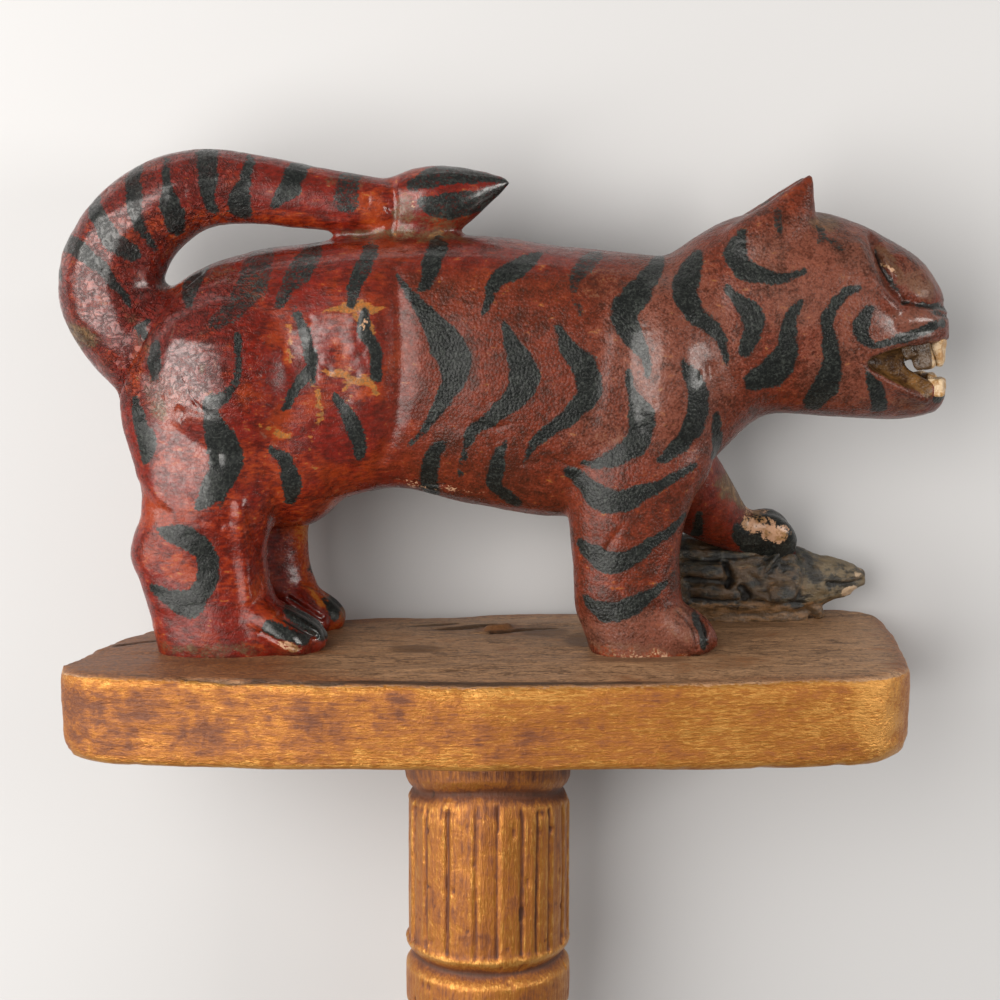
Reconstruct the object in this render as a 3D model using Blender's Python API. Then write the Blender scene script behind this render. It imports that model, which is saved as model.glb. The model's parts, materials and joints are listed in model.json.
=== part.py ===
"""A linguist staff: a striped big cat with its prey on a platform, on a turned and fluted shaft.

Everything is laid out in the staff's own upright frame, in metres: x runs along the animal towards
its nose, y from the show side to the far side, and z up the staff, with the origin on the shaft's
axis at the level of the platform's top. One empty then lays the staff on the floor, show side up and
finial towards +Y. It rests on the flat far edge of the platform and on a small flat at the foot.
"""
import math

import bmesh
import bpy
from mathutils import Matrix, Vector

MM = 0.001

# Driving dimensions of the platform
PLATFORM_HALF_LENGTH = 111 * MM
PLATFORM_THICKNESS = 24 * MM
PLATFORM_FAR = 41 * MM  # the straight far edge
PLATFORM_NEAR = 48 * MM  # the bowed near edge, at its middle
NEAR_EDGE_BOW = 12 * MM
PLATFORM_CROWN = 1.4 * MM  # how far the top falls towards its edges
TOP_SLOPE = 0.8 * MM  # how much higher the far edge of the top is, and lower the near one
CORNER = 6 * MM
FAR_RIGHT_CORNER = 12 * MM
FAR_LEFT_CORNER = 30 * MM
END_SLANT = math.radians(15)  # the left end leans in towards the far side

# Driving dimensions of the shaft
SHAFT_GAP = 0.3 * MM  # between the platform's underside and the collar
SHAFT_RADIUS = 22.4 * MM
PLAIN_RADIUS = 18.5 * MM  # of the plain lengths, at the top
FOOT_RADIUS = 16.5 * MM
FOOT_SWELL = 1.6 * MM  # how far the foot's ring stands out
FOOT_RING = 26 * MM
RING_LENGTH = 17 * MM
DRUM_LENGTH = 47 * MM
GROOVE_DEPTH = 2.6 * MM
FLUTES = 20
FLUTE_DEPTH = 1.2 * MM
FLUTE_MARGIN = 8 * MM  # plain shoulder above the flutes of a drum
SHAFT_END = -1290 * MM
SHAFT_TOP = -PLATFORM_THICKNESS - SHAFT_GAP
MODULE = (SHAFT_TOP - SHAFT_END) / 4  # each starts with a carved group and runs on plain
CARVED_MODULES = 3  # the last module has a plain ring instead of ring, fluted drum and ring
GROUP_TAPER = 0.05  # each group is this share thinner than the one above

# The animal
MID_PLANE = 2 * MM  # y of the animal's middle
NEAR_LEGS = -11 * MM
FAR_LEGS = 16 * MM
FAR_HIND_SHIFT = 8 * MM
BOXINESS = 2.3  # exponent of the trunk's cross-sections; 2 is an ellipse
FOOT_SINK = 4 * MM  # how deep the feet run into the platform
VOXEL = 1.5 * MM
FIGURE_TRIANGLES = 3400

# Trunk and head from rump to nose: place along x, back, underside, half width (mm)
TRUNK = (
    (-99, 77, 66, 6),
    (-96, 83, 58, 12),
    (-91, 90, 50, 17),
    (-84, 96.5, 44, 21),
    (-76, 101.5, 41, 24),
    (-62, 105.5, 39, 25.5),
    (-42, 108, 39, 25),
    (-22, 109.6, 41, 24),
    (0, 109.4, 36.5, 24.5),
    (20, 106.4, 34, 25.5),
    (44, 103.8, 36, 26),
    (56, 107, 44, 25),
    (64, 112, 53, 24),
    (74, 117, 61.5, 23.5),
    (88, 116.2, 61.5, 23),
    (99, 113, 60.8, 21.5),
    (108, 108, 60.6, 19),
    (115, 102.2, 61, 16.5),
    (119.5, 96.5, 62.2, 13.5),
    (122.6, 92, 64.5, 9.5),
    (123.6, 89, 67, 6),
)

# Tail: x, z and radius along its sweep over the back (mm), and the leaf-shaped tip
TAIL = (
    (-86, 72, 12),
    (-94, 82, 14),
    (-101, 96, 14.3),
    (-96, 110, 13.3),
    (-85.5, 119.8, 11.8),
    (-74, 123.5, 10.2),
    (-60, 122, 8.7),
    (-42.5, 118.2, 7),
    (-31, 117, 6),
    (-26, 118, 5.4),
    (-18.5, 119, 8.8),
    (-11, 120, 8.6),
    (-3, 122.8, 5.4),
    (5, 125, 0.8),
)
TAIL_FLATTENING = 0.85

# Legs from the body down: height, rear, front, half width (mm)
HIND_LEG = (
    (76, -94, -50, 10),
    (60, -95, -50, 12),
    (48, -92.5, -53, 12),
    (38, -92, -56, 11.5),
    (30, -94.5, -58, 10.5),
    (25, -95.2, -58.5, 10),
    (18, -92.8, -58, 10),
    (9, -90.3, -55, 10),
    (-4, -88, -54, 10),
)
FORE_LEG = (
    (66, 24, 62, 10),
    (49, 21.5, 59.5, 12.5),
    (41, 21.5, 55, 12),
    (32, 22, 52, 11.5),
    (22, 23, 51.3, 11),
    (12, 23.4, 52.5, 10.5),
    (4, 26, 54, 10),
    (-4, 28, 54, 10),
)
# Feet: reach in front of the leg's rear, top, half width (mm), and how long each one is
FOOT = (
    (6, 12, 8),
    (16, 19, 9.5),
    (26, 14.5, 10),
    (34, 11, 10),
    (40, 7, 9.5),
    (44.5, 2.5, 7.5),
)
NEAR_HIND_FOOT = 1.0
FAR_HIND_FOOT = 0.95
FORE_FOOT = 0.81

# The far foreleg reaches down and forward on to the prey: x, y, z, radius (mm)
REACHING_LEG = (
    (40, 12, 57, 13),
    (51, 17, 43.5, 13),
    (60, 22, 32.5, 11),
    (68, 25, 27, 8),
    (77, 27, 25.6, 7.4),
    (86.5, 28, 23.6, 4.8),
)

# Prey from rump to snout: x, top, underside, half width (mm)
PREY_MIDDLE = 30 * MM
PREY = (
    (45, 18, -3, 7),
    (49, 22.5, -3, 9.5),
    (58, 24, -3, 10.5),
    (82, 23.4, -3, 10.5),
    (89, 20.6, -1.5, 9.5),
    (94.5, 18.8, 2.2, 8),
    (101, 17, 5, 6),
    (108, 15, 9.5, 3.6),
)

EARS = (  # x, y, z of the base, height, radius, lean towards the nose (mm)
    (79, -9, 108, 18, 9, 6),
    (82, 13, 108, 17, 9, 5.5),
)
TIP_REST = ((-34, 109, 4), (-22, 109.5, 5.5), (-13, 109.5, 4))  # wood left under the tail's tip
# Side view of the open mouth: corner, along the upper lip, back along the lower lip (mm)
MOUTH = ((100, 76.5), (108, 79.4), (117, 81.4), (130, 82.4), (130, 67), (117, 68.6), (108, 72))


def clear_scene():
    """Removes whatever the file came with."""
    for thing in list(bpy.data.objects):
        bpy.data.objects.remove(thing, do_unlink=True)


def material(name, colour, roughness, metallic=0.0):
    """A Principled material of one colour."""
    made = bpy.data.materials.new(name)
    made.use_nodes = True
    shader = made.node_tree.nodes["Principled BSDF"]
    shader.inputs["Base Color"].default_value = (*colour, 1.0)
    shader.inputs["Roughness"].default_value = roughness
    shader.inputs["Metallic"].default_value = metallic
    return made


def new_object(name, mesh_data):
    """Links an object that holds a finished bmesh."""
    bmesh.ops.recalc_face_normals(mesh_data, faces=mesh_data.faces)
    mesh = bpy.data.meshes.new(name)
    mesh_data.to_mesh(mesh)
    mesh_data.free()
    thing = bpy.data.objects.new(name, mesh)
    bpy.context.scene.collection.objects.link(thing)
    return thing


def blended(stations, steps):
    """Stations along one smooth Catmull-Rom curve, with every field blended alike."""
    last = len(stations) - 1
    out = []
    for i in range(last):
        before = stations[max(i - 1, 0)]
        here = stations[i]
        after = stations[i + 1]
        beyond = stations[min(i + 2, last)]
        for step in range(steps):
            t = step / steps
            out.append(tuple(
                0.5 * (2 * b + (c - a) * t + (2 * a - 5 * b + 4 * c - d) * t * t
                       + (3 * b - a - 3 * c + d) * t ** 3)
                for a, b, c, d in zip(before, here, after, beyond)
            ))
    out.append(tuple(float(v) for v in stations[last]))
    return out


def oval(centre, along_u, along_v, sides, exponent=2.0):
    """Points round a superellipse with the two given half axes."""
    points = []
    for i in range(sides):
        angle = 2 * math.pi * i / sides
        c, s = math.cos(angle), math.sin(angle)
        u = math.copysign(abs(c) ** (2 / exponent), c)
        v = math.copysign(abs(s) ** (2 / exponent), s)
        points.append(Vector(centre) + Vector(along_u) * u + Vector(along_v) * v)
    return points


def skin(mesh_data, rings):
    """Bridges a row of rings of equal counts and closes both ends."""
    loops = [[mesh_data.verts.new(point) for point in ring] for ring in rings]
    sides = len(loops[0])
    for lower, upper in zip(loops, loops[1:]):
        for i in range(sides):
            j = (i + 1) % sides
            mesh_data.faces.new((lower[i], lower[j], upper[j], upper[i]))
    mesh_data.faces.new(reversed(loops[0]))
    mesh_data.faces.new(loops[-1])


def add_lengthwise(mesh_data, stations, middle):
    """A form along x from stations of place, top, underside and half width."""
    rings = []
    for place, top, under, half in blended(stations, 3):
        centre = (place * MM, middle, (top + under) / 2 * MM)
        rings.append(oval(centre, (0, half * MM, 0), (0, 0, (top - under) / 2 * MM), 24, BOXINESS))
    skin(mesh_data, rings)


def add_leg(mesh_data, stations, middle, shift=0.0):
    """An upright leg from stations of height, rear, front and half width."""
    rings = []
    for height, rear, front, half in blended(stations, 3):
        centre = ((rear + front) / 2 * MM + shift, middle, height * MM)
        rings.append(oval(centre, ((front - rear) / 2 * MM, 0, 0), (0, half * MM, 0), 20, BOXINESS))
    skin(mesh_data, rings)


def add_foot(mesh_data, rear, middle, length):
    """A long low foot with its toes forward, from the rear of the leg."""
    rings = []
    for reach, top, half in blended(FOOT, 3):
        height = (top * MM + FOOT_SINK) / 2
        centre = (rear + reach * length * MM, middle, top * MM - height)
        rings.append(oval(centre, (0, half * MM, 0), (0, 0, height), 20, BOXINESS))
    skin(mesh_data, rings)


def add_limb(mesh_data, stations, flattening=1.0):
    """A bent round form through stations of x, y, z and radius."""
    path = blended(stations, 4)
    points = [Vector(p[:3]) * MM for p in path]
    rings = []
    for i, station in enumerate(path):
        along = (points[min(i + 1, len(path) - 1)] - points[max(i - 1, 0)]).normalized()
        side = along.cross(Vector((0, 1, 0))).normalized()
        across = side.cross(along).normalized()
        radius = station[3] * MM
        rings.append(oval(points[i], side * radius, across * radius * flattening, 18))
    skin(mesh_data, rings)


def add_ear(mesh_data, x, y, z, height, radius, lean):
    """A pointed ear, thin front to back."""
    rings = []
    for share in (0, 0.35, 0.7, 1):
        spread = radius * (1 - share) + 0.6 * share
        centre = ((x + lean * share) * MM, y * MM, (z + height * share) * MM)
        rings.append(oval(centre, (spread * 0.9 * MM, 0, 0), (0, spread * 0.55 * MM, 0), 12))
    skin(mesh_data, rings)


def add_block(mesh_data, low, high):
    """A plain block between two corners (mm)."""
    size = (Vector(high) - Vector(low)) * MM
    centre = (Vector(high) + Vector(low)) / 2 * MM
    bmesh.ops.create_cube(mesh_data, size=1, matrix=Matrix.LocRotScale(centre, None, size))


def build_mouth_cutter():
    """The wedge that opens the jaws, right through from side to side."""
    mesh_data = bmesh.new()
    reach = 30 * MM
    rings = [[Vector((x * MM, y, z * MM)) for x, z in MOUTH] for y in (-reach, reach)]
    skin(mesh_data, rings)
    cutter = new_object("mouth_opening", mesh_data)
    cutter.hide_render = True
    cutter.display_type = "WIRE"
    return cutter


def build_jawed_trunk():
    """Trunk, head, tail and legs as one form with the mouth cut open."""
    mesh_data = bmesh.new()
    add_lengthwise(mesh_data, TRUNK, MID_PLANE)
    form = new_object("trunk_form", mesh_data)
    opening = form.modifiers.new("mouth", "BOOLEAN")
    opening.operation = "DIFFERENCE"
    opening.object = build_mouth_cutter()
    form.hide_render = True
    form.display_type = "WIRE"
    return form


def add_teeth(mesh_data):
    """Two blocks of front teeth, upper and lower."""
    add_block(mesh_data, (112, -4, 75), (121.5, 8, 84))
    add_block(mesh_data, (117, -3, 64), (121.5, 7, 72))


def build_figure():
    """The animal and its prey, melted into one carved surface."""
    mesh_data = bmesh.new()
    evaluated = build_jawed_trunk().evaluated_get(bpy.context.evaluated_depsgraph_get())
    mesh_data.from_mesh(evaluated.to_mesh())
    add_limb(mesh_data, [(x, MID_PLANE / MM, z, r) for x, z, r in TAIL], TAIL_FLATTENING)
    add_limb(mesh_data, [(x, MID_PLANE / MM, z, r) for x, z, r in TIP_REST])
    for stations, middle, shift, length in (
        (HIND_LEG, NEAR_LEGS, 0.0, NEAR_HIND_FOOT),
        (HIND_LEG, FAR_LEGS, FAR_HIND_SHIFT, FAR_HIND_FOOT),
        (FORE_LEG, NEAR_LEGS, 0.0, FORE_FOOT),
    ):
        add_leg(mesh_data, stations, middle, shift)
        add_foot(mesh_data, stations[-1][1] * MM + shift, middle, length)
    add_limb(mesh_data, REACHING_LEG)
    add_lengthwise(mesh_data, PREY, PREY_MIDDLE)
    for ear in EARS:
        add_ear(mesh_data, *ear)
    add_teeth(mesh_data)
    figure = new_object("figure_form", mesh_data)
    melt = figure.modifiers.new("melt", "REMESH")
    melt.mode = "VOXEL"
    melt.voxel_size = VOXEL
    soften = figure.modifiers.new("soften", "SMOOTH")
    soften.factor = 0.5
    soften.iterations = 3
    bpy.context.view_layer.update()
    evaluated = figure.evaluated_get(bpy.context.evaluated_depsgraph_get())
    triangles = sum(len(face.vertices) - 2 for face in evaluated.data.polygons)
    thin = figure.modifiers.new("thin", "DECIMATE")
    thin.ratio = FIGURE_TRIANGLES / triangles
    figure.hide_render = True
    figure.display_type = "WIRE"
    return figure


def arc(centre, radius, start, end, count):
    """Points on a circle in plan, between two angles in degrees."""
    points = []
    for i in range(count + 1):
        angle = math.radians(start + (end - start) * i / count)
        points.append((centre[0] + radius * math.cos(angle), centre[1] + radius * math.sin(angle)))
    return points


def platform_outline():
    """The platform in plan, anticlockwise from its near left corner."""
    half = PLATFORM_HALF_LENGTH
    near_end = -PLATFORM_NEAR + NEAR_EDGE_BOW
    left = (-half + CORNER, near_end + CORNER)
    right = (half - CORNER, near_end + CORNER)
    slant = math.degrees(END_SLANT)
    points = arc(left, CORNER, 180 - slant, 270, 5)
    bows = 12
    for i in range(1, bows):
        t = 2 * i / bows - 1
        points.append((right[0] * t, near_end - NEAR_EDGE_BOW * (1 - t * t)))
    points += arc(right, CORNER, 270, 360, 5)
    far_right = (half + CORNER - FAR_RIGHT_CORNER, PLATFORM_FAR - FAR_RIGHT_CORNER)
    points += arc(far_right, FAR_RIGHT_CORNER, 0, 90, 6)
    start = Vector(points[0])
    run = PLATFORM_FAR - FAR_LEFT_CORNER * (1 - math.sin(math.radians(180 - slant))) - start.y
    joint_x = start.x + run * math.tan(END_SLANT)
    far_left = (joint_x + FAR_LEFT_CORNER * math.cos(END_SLANT), PLATFORM_FAR - FAR_LEFT_CORNER)
    points += arc(far_left, FAR_LEFT_CORNER, 90, 180 - slant, 8)
    return points


def shrunk(points, at_ends, at_sides, height, slope=0.0):
    """The outline at one height, drawn in at the two ends and along the two sides."""
    by_x = 1 - at_ends * MM / PLATFORM_HALF_LENGTH
    by_y = 1 - at_sides * MM / PLATFORM_FAR
    return [Vector((x * by_x, y * by_y, height + slope * y * by_y)) for x, y in points]


def build_platform(rest_plane):
    """A thick slab with a crowned top, rounded ends below and a flat where it lies on the floor."""
    outline = platform_outline()
    bottom = -PLATFORM_THICKNESS
    edge = -PLATFORM_CROWN
    slope = TOP_SLOPE / PLATFORM_FAR
    layers = (  # drawn in at the ends, at the sides (mm), height, slope towards the far side
        (6.5, 1.6, bottom),
        (2.4, 0.4, bottom + 1.6 * MM),
        (0.6, 0.0, bottom + 4 * MM),
        (0.0, 0.0, bottom + 7 * MM),
        (0.0, 0.0, edge - 0.8 * MM, slope),
        (0.8, 0.8, edge, slope),
        (14.0, 14.0, -0.2 * MM, slope),
    )
    mesh_data = bmesh.new()
    skin(mesh_data, [shrunk(outline, *layer) for layer in layers])
    shave(mesh_data, *rest_plane)
    return new_object("finial", mesh_data)


def shave(mesh_data, point, outward):
    """Cuts off what lies beyond a plane and closes the cut flat."""
    everything = mesh_data.verts[:] + mesh_data.edges[:] + mesh_data.faces[:]
    cut = bmesh.ops.bisect_plane(
        mesh_data, geom=everything, plane_co=point, plane_no=outward, clear_outer=True
    )
    edges = [e for e in cut["geom_cut"] if isinstance(e, bmesh.types.BMEdge)]
    bmesh.ops.contextual_create(mesh_data, geom=edges)


def ring_rings(top, full):
    """Heights, radii and flute depths of one turned ring between two grooves."""
    return [
        (top, full - GROOVE_DEPTH, 0.0),
        (top - 2.4 * MM, full, 0.0),
        (top - RING_LENGTH + 3.2 * MM, full, 0.0),
        (top - RING_LENGTH, full - GROOVE_DEPTH, 0.0),
    ]


def group_rings(top, full):
    """One ring, a fluted drum and another ring."""
    drum_top = top - RING_LENGTH
    drum_bottom = drum_top - DRUM_LENGTH
    return ring_rings(top, full) + [
        (drum_top - 4.4 * MM, full, 0.0),
        (drum_top - FLUTE_MARGIN, full, FLUTE_DEPTH),
        (drum_bottom + 3.6 * MM, full, FLUTE_DEPTH),
    ] + ring_rings(drum_bottom, full)


def plain_radius(height):
    """The gently tapering plain lengths."""
    share = (SHAFT_TOP - height) / (SHAFT_TOP - SHAFT_END)
    return PLAIN_RADIUS + (FOOT_RADIUS - PLAIN_RADIUS) * share


def shaft_rings():
    """The whole shaft, collar to foot: four modules, each a carved group and a plain length."""
    rings = []
    for i in range(4):
        top = SHAFT_TOP - MODULE * i
        full = SHAFT_RADIUS * (1 - GROUP_TAPER * i)
        group = group_rings(top, full) if i < CARVED_MODULES else ring_rings(top, full)
        if i == 0:
            group[0] = (top, full - 0.6 * MM, 0.0)
        else:
            rings.append((top + 3 * MM, plain_radius(top), 0.0))
        rings += group
        bottom = group[-1][0]
        rings.append((bottom - 3 * MM, plain_radius(bottom), 0.0))
    foot = SHAFT_END + FOOT_RING
    return rings + [
        (foot + 3 * MM, plain_radius(foot), 0.0),
        (foot, FOOT_RADIUS + FOOT_SWELL, 0.0),
        (SHAFT_END + 2 * MM, FOOT_RADIUS + FOOT_SWELL, 0.0),
        (SHAFT_END, FOOT_RADIUS, 0.0),
    ]


def build_shaft(rest_plane):
    """One long turned piece, with V-shaped grooves between the staves of its drums."""
    mesh_data = bmesh.new()
    per_flute = 3
    sides = FLUTES * per_flute
    rings = []
    for height, radius, flute in shaft_rings():
        ring = []
        for i in range(sides):
            angle = 2 * math.pi * i / sides
            reach = radius - (flute if i % per_flute == 0 else 0)
            ring.append(Vector((reach * math.cos(angle), reach * math.sin(angle), height)))
        rings.append(ring)
    skin(mesh_data, rings)
    shave(mesh_data, *rest_plane)
    return new_object("shaft", mesh_data)


def resting_plane():
    """Point and outward normal of the floor, which touches the platform's far edge and the foot."""
    flat = 0.35 * MM  # how deep the two small flats are cut
    foot = Vector((0, FOOT_RADIUS + FOOT_SWELL - flat, SHAFT_END))
    edge = Vector((0, PLATFORM_FAR - flat, -PLATFORM_THICKNESS))
    along = (edge - foot).normalized()
    outward = Vector((0, along.z, -along.y))
    return edge, outward


def lay_down(parts, forms, rest_plane):
    """Turns the upright staff, with the forms that shape it, on to the floor and centres it there."""
    outward = rest_plane[1]
    lean = math.atan2(-outward.z, outward.y)
    axis = bpy.data.objects.new("staff_axis", None)
    bpy.context.scene.collection.objects.link(axis)
    turn = Matrix.Rotation(lean - math.pi / 2, 4, "X")
    for thing in (*parts, *forms):
        thing.parent = axis
    axis.matrix_world = turn
    bpy.context.view_layer.update()
    graph = bpy.context.evaluated_depsgraph_get()
    corners = []
    for thing in parts:
        evaluated = thing.evaluated_get(graph)
        corners += [evaluated.matrix_world @ v.co for v in evaluated.data.vertices]
    low = Vector(min(c[i] for c in corners) for i in range(3))
    high = Vector(max(c[i] for c in corners) for i in range(3))
    middle = (low + high) / 2
    axis.matrix_world = Matrix.Translation((-middle.x, -middle.y, -low.z)) @ turn


def main():
    """Builds the two carved pieces and lays the staff down."""
    clear_scene()
    rest_plane = resting_plane()
    finial = build_platform(rest_plane)
    union = finial.modifiers.new("figure", "BOOLEAN")
    union.operation = "UNION"
    figure = build_figure()
    union.object = figure
    shaft = build_shaft(rest_plane)
    finial.data.materials.append(material("red_paint", (0.30, 0.035, 0.02), 0.38))
    shaft.data.materials.append(material("worn_gilding", (0.45, 0.22, 0.05), 0.4, 0.6))
    lay_down((finial, shaft), (figure,), rest_plane)


main()
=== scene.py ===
"""The looks of a linguist staff: a striped big cat holding its prey, on a gilded platform and shaft.

Every piece is shaped in the staff's own upright frame, in millimetres: x runs along the cat towards
its nose, y from the show side to the far side, and z up the staff, with the origin on the shaft's
axis at the level of the platform's top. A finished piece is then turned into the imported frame, in
metres, where the staff lies on the floor with its show side up.
"""
import json
import logging
import math
from dataclasses import dataclass
from enum import Enum
from itertools import product
from typing import Callable, ClassVar, Sequence

import bmesh
import bpy
import numpy as np
from mathutils import Matrix, Vector

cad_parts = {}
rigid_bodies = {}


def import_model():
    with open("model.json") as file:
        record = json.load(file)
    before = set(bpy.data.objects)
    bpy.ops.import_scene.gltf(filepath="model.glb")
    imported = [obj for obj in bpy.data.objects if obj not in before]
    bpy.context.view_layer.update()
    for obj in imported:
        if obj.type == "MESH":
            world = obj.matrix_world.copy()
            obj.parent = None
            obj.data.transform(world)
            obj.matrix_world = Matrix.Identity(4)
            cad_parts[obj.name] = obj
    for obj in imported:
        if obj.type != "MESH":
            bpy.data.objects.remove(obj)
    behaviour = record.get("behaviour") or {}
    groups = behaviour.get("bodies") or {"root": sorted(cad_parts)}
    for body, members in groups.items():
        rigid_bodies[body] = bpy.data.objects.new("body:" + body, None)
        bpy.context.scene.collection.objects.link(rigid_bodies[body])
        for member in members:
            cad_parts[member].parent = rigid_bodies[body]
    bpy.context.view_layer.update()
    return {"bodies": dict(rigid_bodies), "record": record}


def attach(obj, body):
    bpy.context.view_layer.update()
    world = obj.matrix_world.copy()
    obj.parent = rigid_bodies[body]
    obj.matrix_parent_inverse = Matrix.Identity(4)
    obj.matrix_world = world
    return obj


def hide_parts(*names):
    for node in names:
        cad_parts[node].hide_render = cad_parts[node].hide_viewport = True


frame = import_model()

LOG = logging.getLogger("staff")
MM = 0.001
BODY = next(iter(frame["bodies"]))
MIDDLE = 2.0  # y of the cat's middle plane
FOOT_END = -1290.0  # height of the shaft's lower end
HASH_STEPS = (73856093, 19349663, 83492791)  # primes that scatter the noise's cells over its table
HASH_SIZE = 8192
NEAR_ENOUGH = 0.05  # mm between two places that count as one
ROUND, BOXY = 2.0, 2.3  # powers of a cross-section: an ellipse, and the squarer one of most forms

Piece = bpy.types.Object
Socket = bpy.types.NodeSocket
Material = bpy.types.Material
Colour = tuple[float, float, float]
Station = tuple[float, ...]
Point = tuple[float, float, float]


class Slot(Enum):
    """The record's material slots."""

    PAINTED = "painted_wood"
    GILDED = "gilded_wood"


class Side(Enum):
    """Which faces of a form a gouge cuts."""

    NEAR = "near"
    BOTH = "both"


# ---------------------------------------------------------------- the bench


def deselect() -> None:
    """Leaves nothing selected."""
    bpy.ops.object.select_all(action="DESELECT")


def pick(piece: Piece) -> None:
    """Makes one piece the only selected and the active one.

    Args:
        piece: The mesh object.
    """
    deselect()
    piece.select_set(True)
    bpy.context.view_layer.objects.active = piece


def refine(piece: Piece, kind: str, **settings: object) -> None:
    """Adds one modifier to a piece and applies it.

    Args:
        piece: The mesh object to change.
        kind: The modifier's type.
        **settings: The modifier's own properties.
    """
    pick(piece)
    made = piece.modifiers.new(kind.lower(), kind)
    for name, value in settings.items():
        setattr(made, name, value)
    bpy.ops.object.modifier_apply(modifier=made.name)


def points_of(piece: Piece) -> np.ndarray:
    """The places of a piece's vertices, one row each.

    Args:
        piece: The mesh object.

    Returns:
        An array of three columns.
    """
    flat = np.empty(len(piece.data.vertices) * 3, np.float32)
    piece.data.vertices.foreach_get("co", flat)
    return flat.reshape(-1, 3).astype(np.float64)


def normals_of(piece: Piece) -> np.ndarray:
    """The normals of a piece's vertices, one row each.

    Args:
        piece: The mesh object.

    Returns:
        An array of three columns.
    """
    flat = np.empty(len(piece.data.vertices) * 3, np.float32)
    piece.data.vertex_normals.foreach_get("vector", flat)
    return flat.reshape(-1, 3).astype(np.float64)


def edges_of(piece: Piece) -> np.ndarray:
    """The two vertex numbers of each of a piece's edges.

    Args:
        piece: The mesh object.

    Returns:
        An array of two columns.
    """
    flat = np.empty(len(piece.data.edges) * 2, np.int32)
    piece.data.edges.foreach_get("vertices", flat)
    return flat.reshape(-1, 2)


def place(piece: Piece, points: np.ndarray) -> None:
    """Puts a piece's vertices at new places."""
    piece.data.vertices.foreach_set("co", points.astype(np.float32).ravel())
    piece.data.update()


def push(piece: Piece, amounts: np.ndarray) -> None:
    """Moves each vertex of a piece outwards along its normal, by its own amount in mm."""
    place(piece, points_of(piece) + normals_of(piece) * amounts[:, None])


def melt(piece: Piece, voxel: float) -> None:
    """Makes one even skin round all of a piece's forms, of faces about a voxel wide in mm."""
    refine(piece, "REMESH", mode="VOXEL", voxel_size=voxel)


def ease(piece: Piece, rounds: int) -> None:
    """Smooths a piece, each round halfway."""
    refine(piece, "SMOOTH", factor=0.5, iterations=rounds)


def triangles_in(piece: Piece) -> int:
    """How many triangles a piece's faces make."""
    return sum(len(face.vertices) - 2 for face in piece.data.polygons)


def relaxed(points: np.ndarray, edges: np.ndarray, rounds: int) -> np.ndarray:
    """Each point moved to the mean of its neighbours, several times over.

    Args:
        points: One row for each vertex.
        edges: The mesh's edges.
        rounds: How many times.

    Returns:
        The smoothed points.
    """
    count = len(points)
    shares = np.bincount(edges.ravel(), minlength=count).astype(float)[:, None]
    for _ in range(rounds):
        total = np.empty_like(points)
        for axis in range(3):
            there = np.bincount(edges[:, 0], points[edges[:, 1], axis], count)
            back = np.bincount(edges[:, 1], points[edges[:, 0], axis], count)
            total[:, axis] = there + back
        points = total / np.maximum(shares, 1)
    return points


def hollowness(piece: Piece, rounds: int) -> np.ndarray:
    """How deep each vertex lies below its smoothed surroundings, in mm; below zero on ridges."""
    points = points_of(piece)
    return ((relaxed(points, edges_of(piece), rounds) - points) * normals_of(piece)).sum(1)


def note(piece: Piece, **notes: np.ndarray) -> None:
    """Keeps numbers for each vertex, under the names by which the finish reads them."""
    for name, values in notes.items():
        made = piece.data.attributes.new(name, "FLOAT", "POINT")
        made.data.foreach_set("value", values.astype(np.float32))


def soft_step(values: np.ndarray, low: float, high: float) -> np.ndarray:
    """0 below low, 1 above high, and a smooth rise between them."""
    share = np.clip((values - low) / (high - low), 0, 1)
    return share * share * (3 - 2 * share)


def lattice_noise(points: np.ndarray, size: float | Point, seed: int) -> np.ndarray:
    """Smooth noise from -1 to 1 over points in space.

    Args:
        points: One row for each point.
        size: The size of the noise's cells, the same each way or one for each axis.
        seed: Which noise.

    Returns:
        One number for each point.
    """
    table = np.random.default_rng(seed).uniform(-1, 1, HASH_SIZE)
    cells = points / np.asarray(size)
    base = np.floor(cells).astype(np.int64)
    part = cells - base
    part = part * part * (3 - 2 * part)
    total = np.zeros(len(points))
    for corner in product((0, 1), repeat=3):
        key = base + np.array(corner)
        spot = np.bitwise_xor.reduce(key * HASH_STEPS, axis=1) % HASH_SIZE
        weight = np.where(corner, part, 1 - part).prod(1)
        total += weight * table[spot]
    return total


def layered_noise(points: np.ndarray, *layers: tuple[float | Point, int, float]) -> np.ndarray:
    """The sum of several noises over points, each given as the size of its cells, its seed and its height."""
    return sum(lattice_noise(points, size, seed) * height for size, seed, height in layers)


def blended(stations: Sequence[Station], steps: int) -> list[Station]:
    """Stations along one smooth curve through the given ones.

    Args:
        stations: Rows of numbers, all blended alike.
        steps: How many stretches between two given stations.

    Returns:
        The given stations with the new ones between them.
    """
    last = len(stations) - 1
    out: list[Station] = []
    for i in range(last):
        near = [stations[min(max(i + shift, 0), last)] for shift in (-1, 0, 1, 2)]
        for step in range(steps):
            t = step / steps
            out.append(tuple(
                0.5 * (2 * b + (c - a) * t + (2 * a - 5 * b + 4 * c - d) * t * t
                       + (3 * b - a - 3 * c + d) * t ** 3)
                for a, b, c, d in zip(*near)
            ))
    out.append(tuple(float(v) for v in stations[last]))
    return out


def oval(centre: Sequence[float], along: Vector, across: Vector, sides: int, power: float) -> list[Vector]:
    """Points round a superellipse.

    Args:
        centre: Its middle.
        along: One half axis.
        across: The other half axis.
        sides: How many points.
        power: 2 for an ellipse, more for a boxier round.

    Returns:
        The points in order.
    """
    out = []
    for i in range(sides):
        angle = 2 * math.pi * i / sides
        c, s = math.cos(angle), math.sin(angle)
        u = math.copysign(abs(c) ** (2 / power), c)
        v = math.copysign(abs(s) ** (2 / power), s)
        out.append(Vector(centre) + along * u + across * v)
    return out


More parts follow.
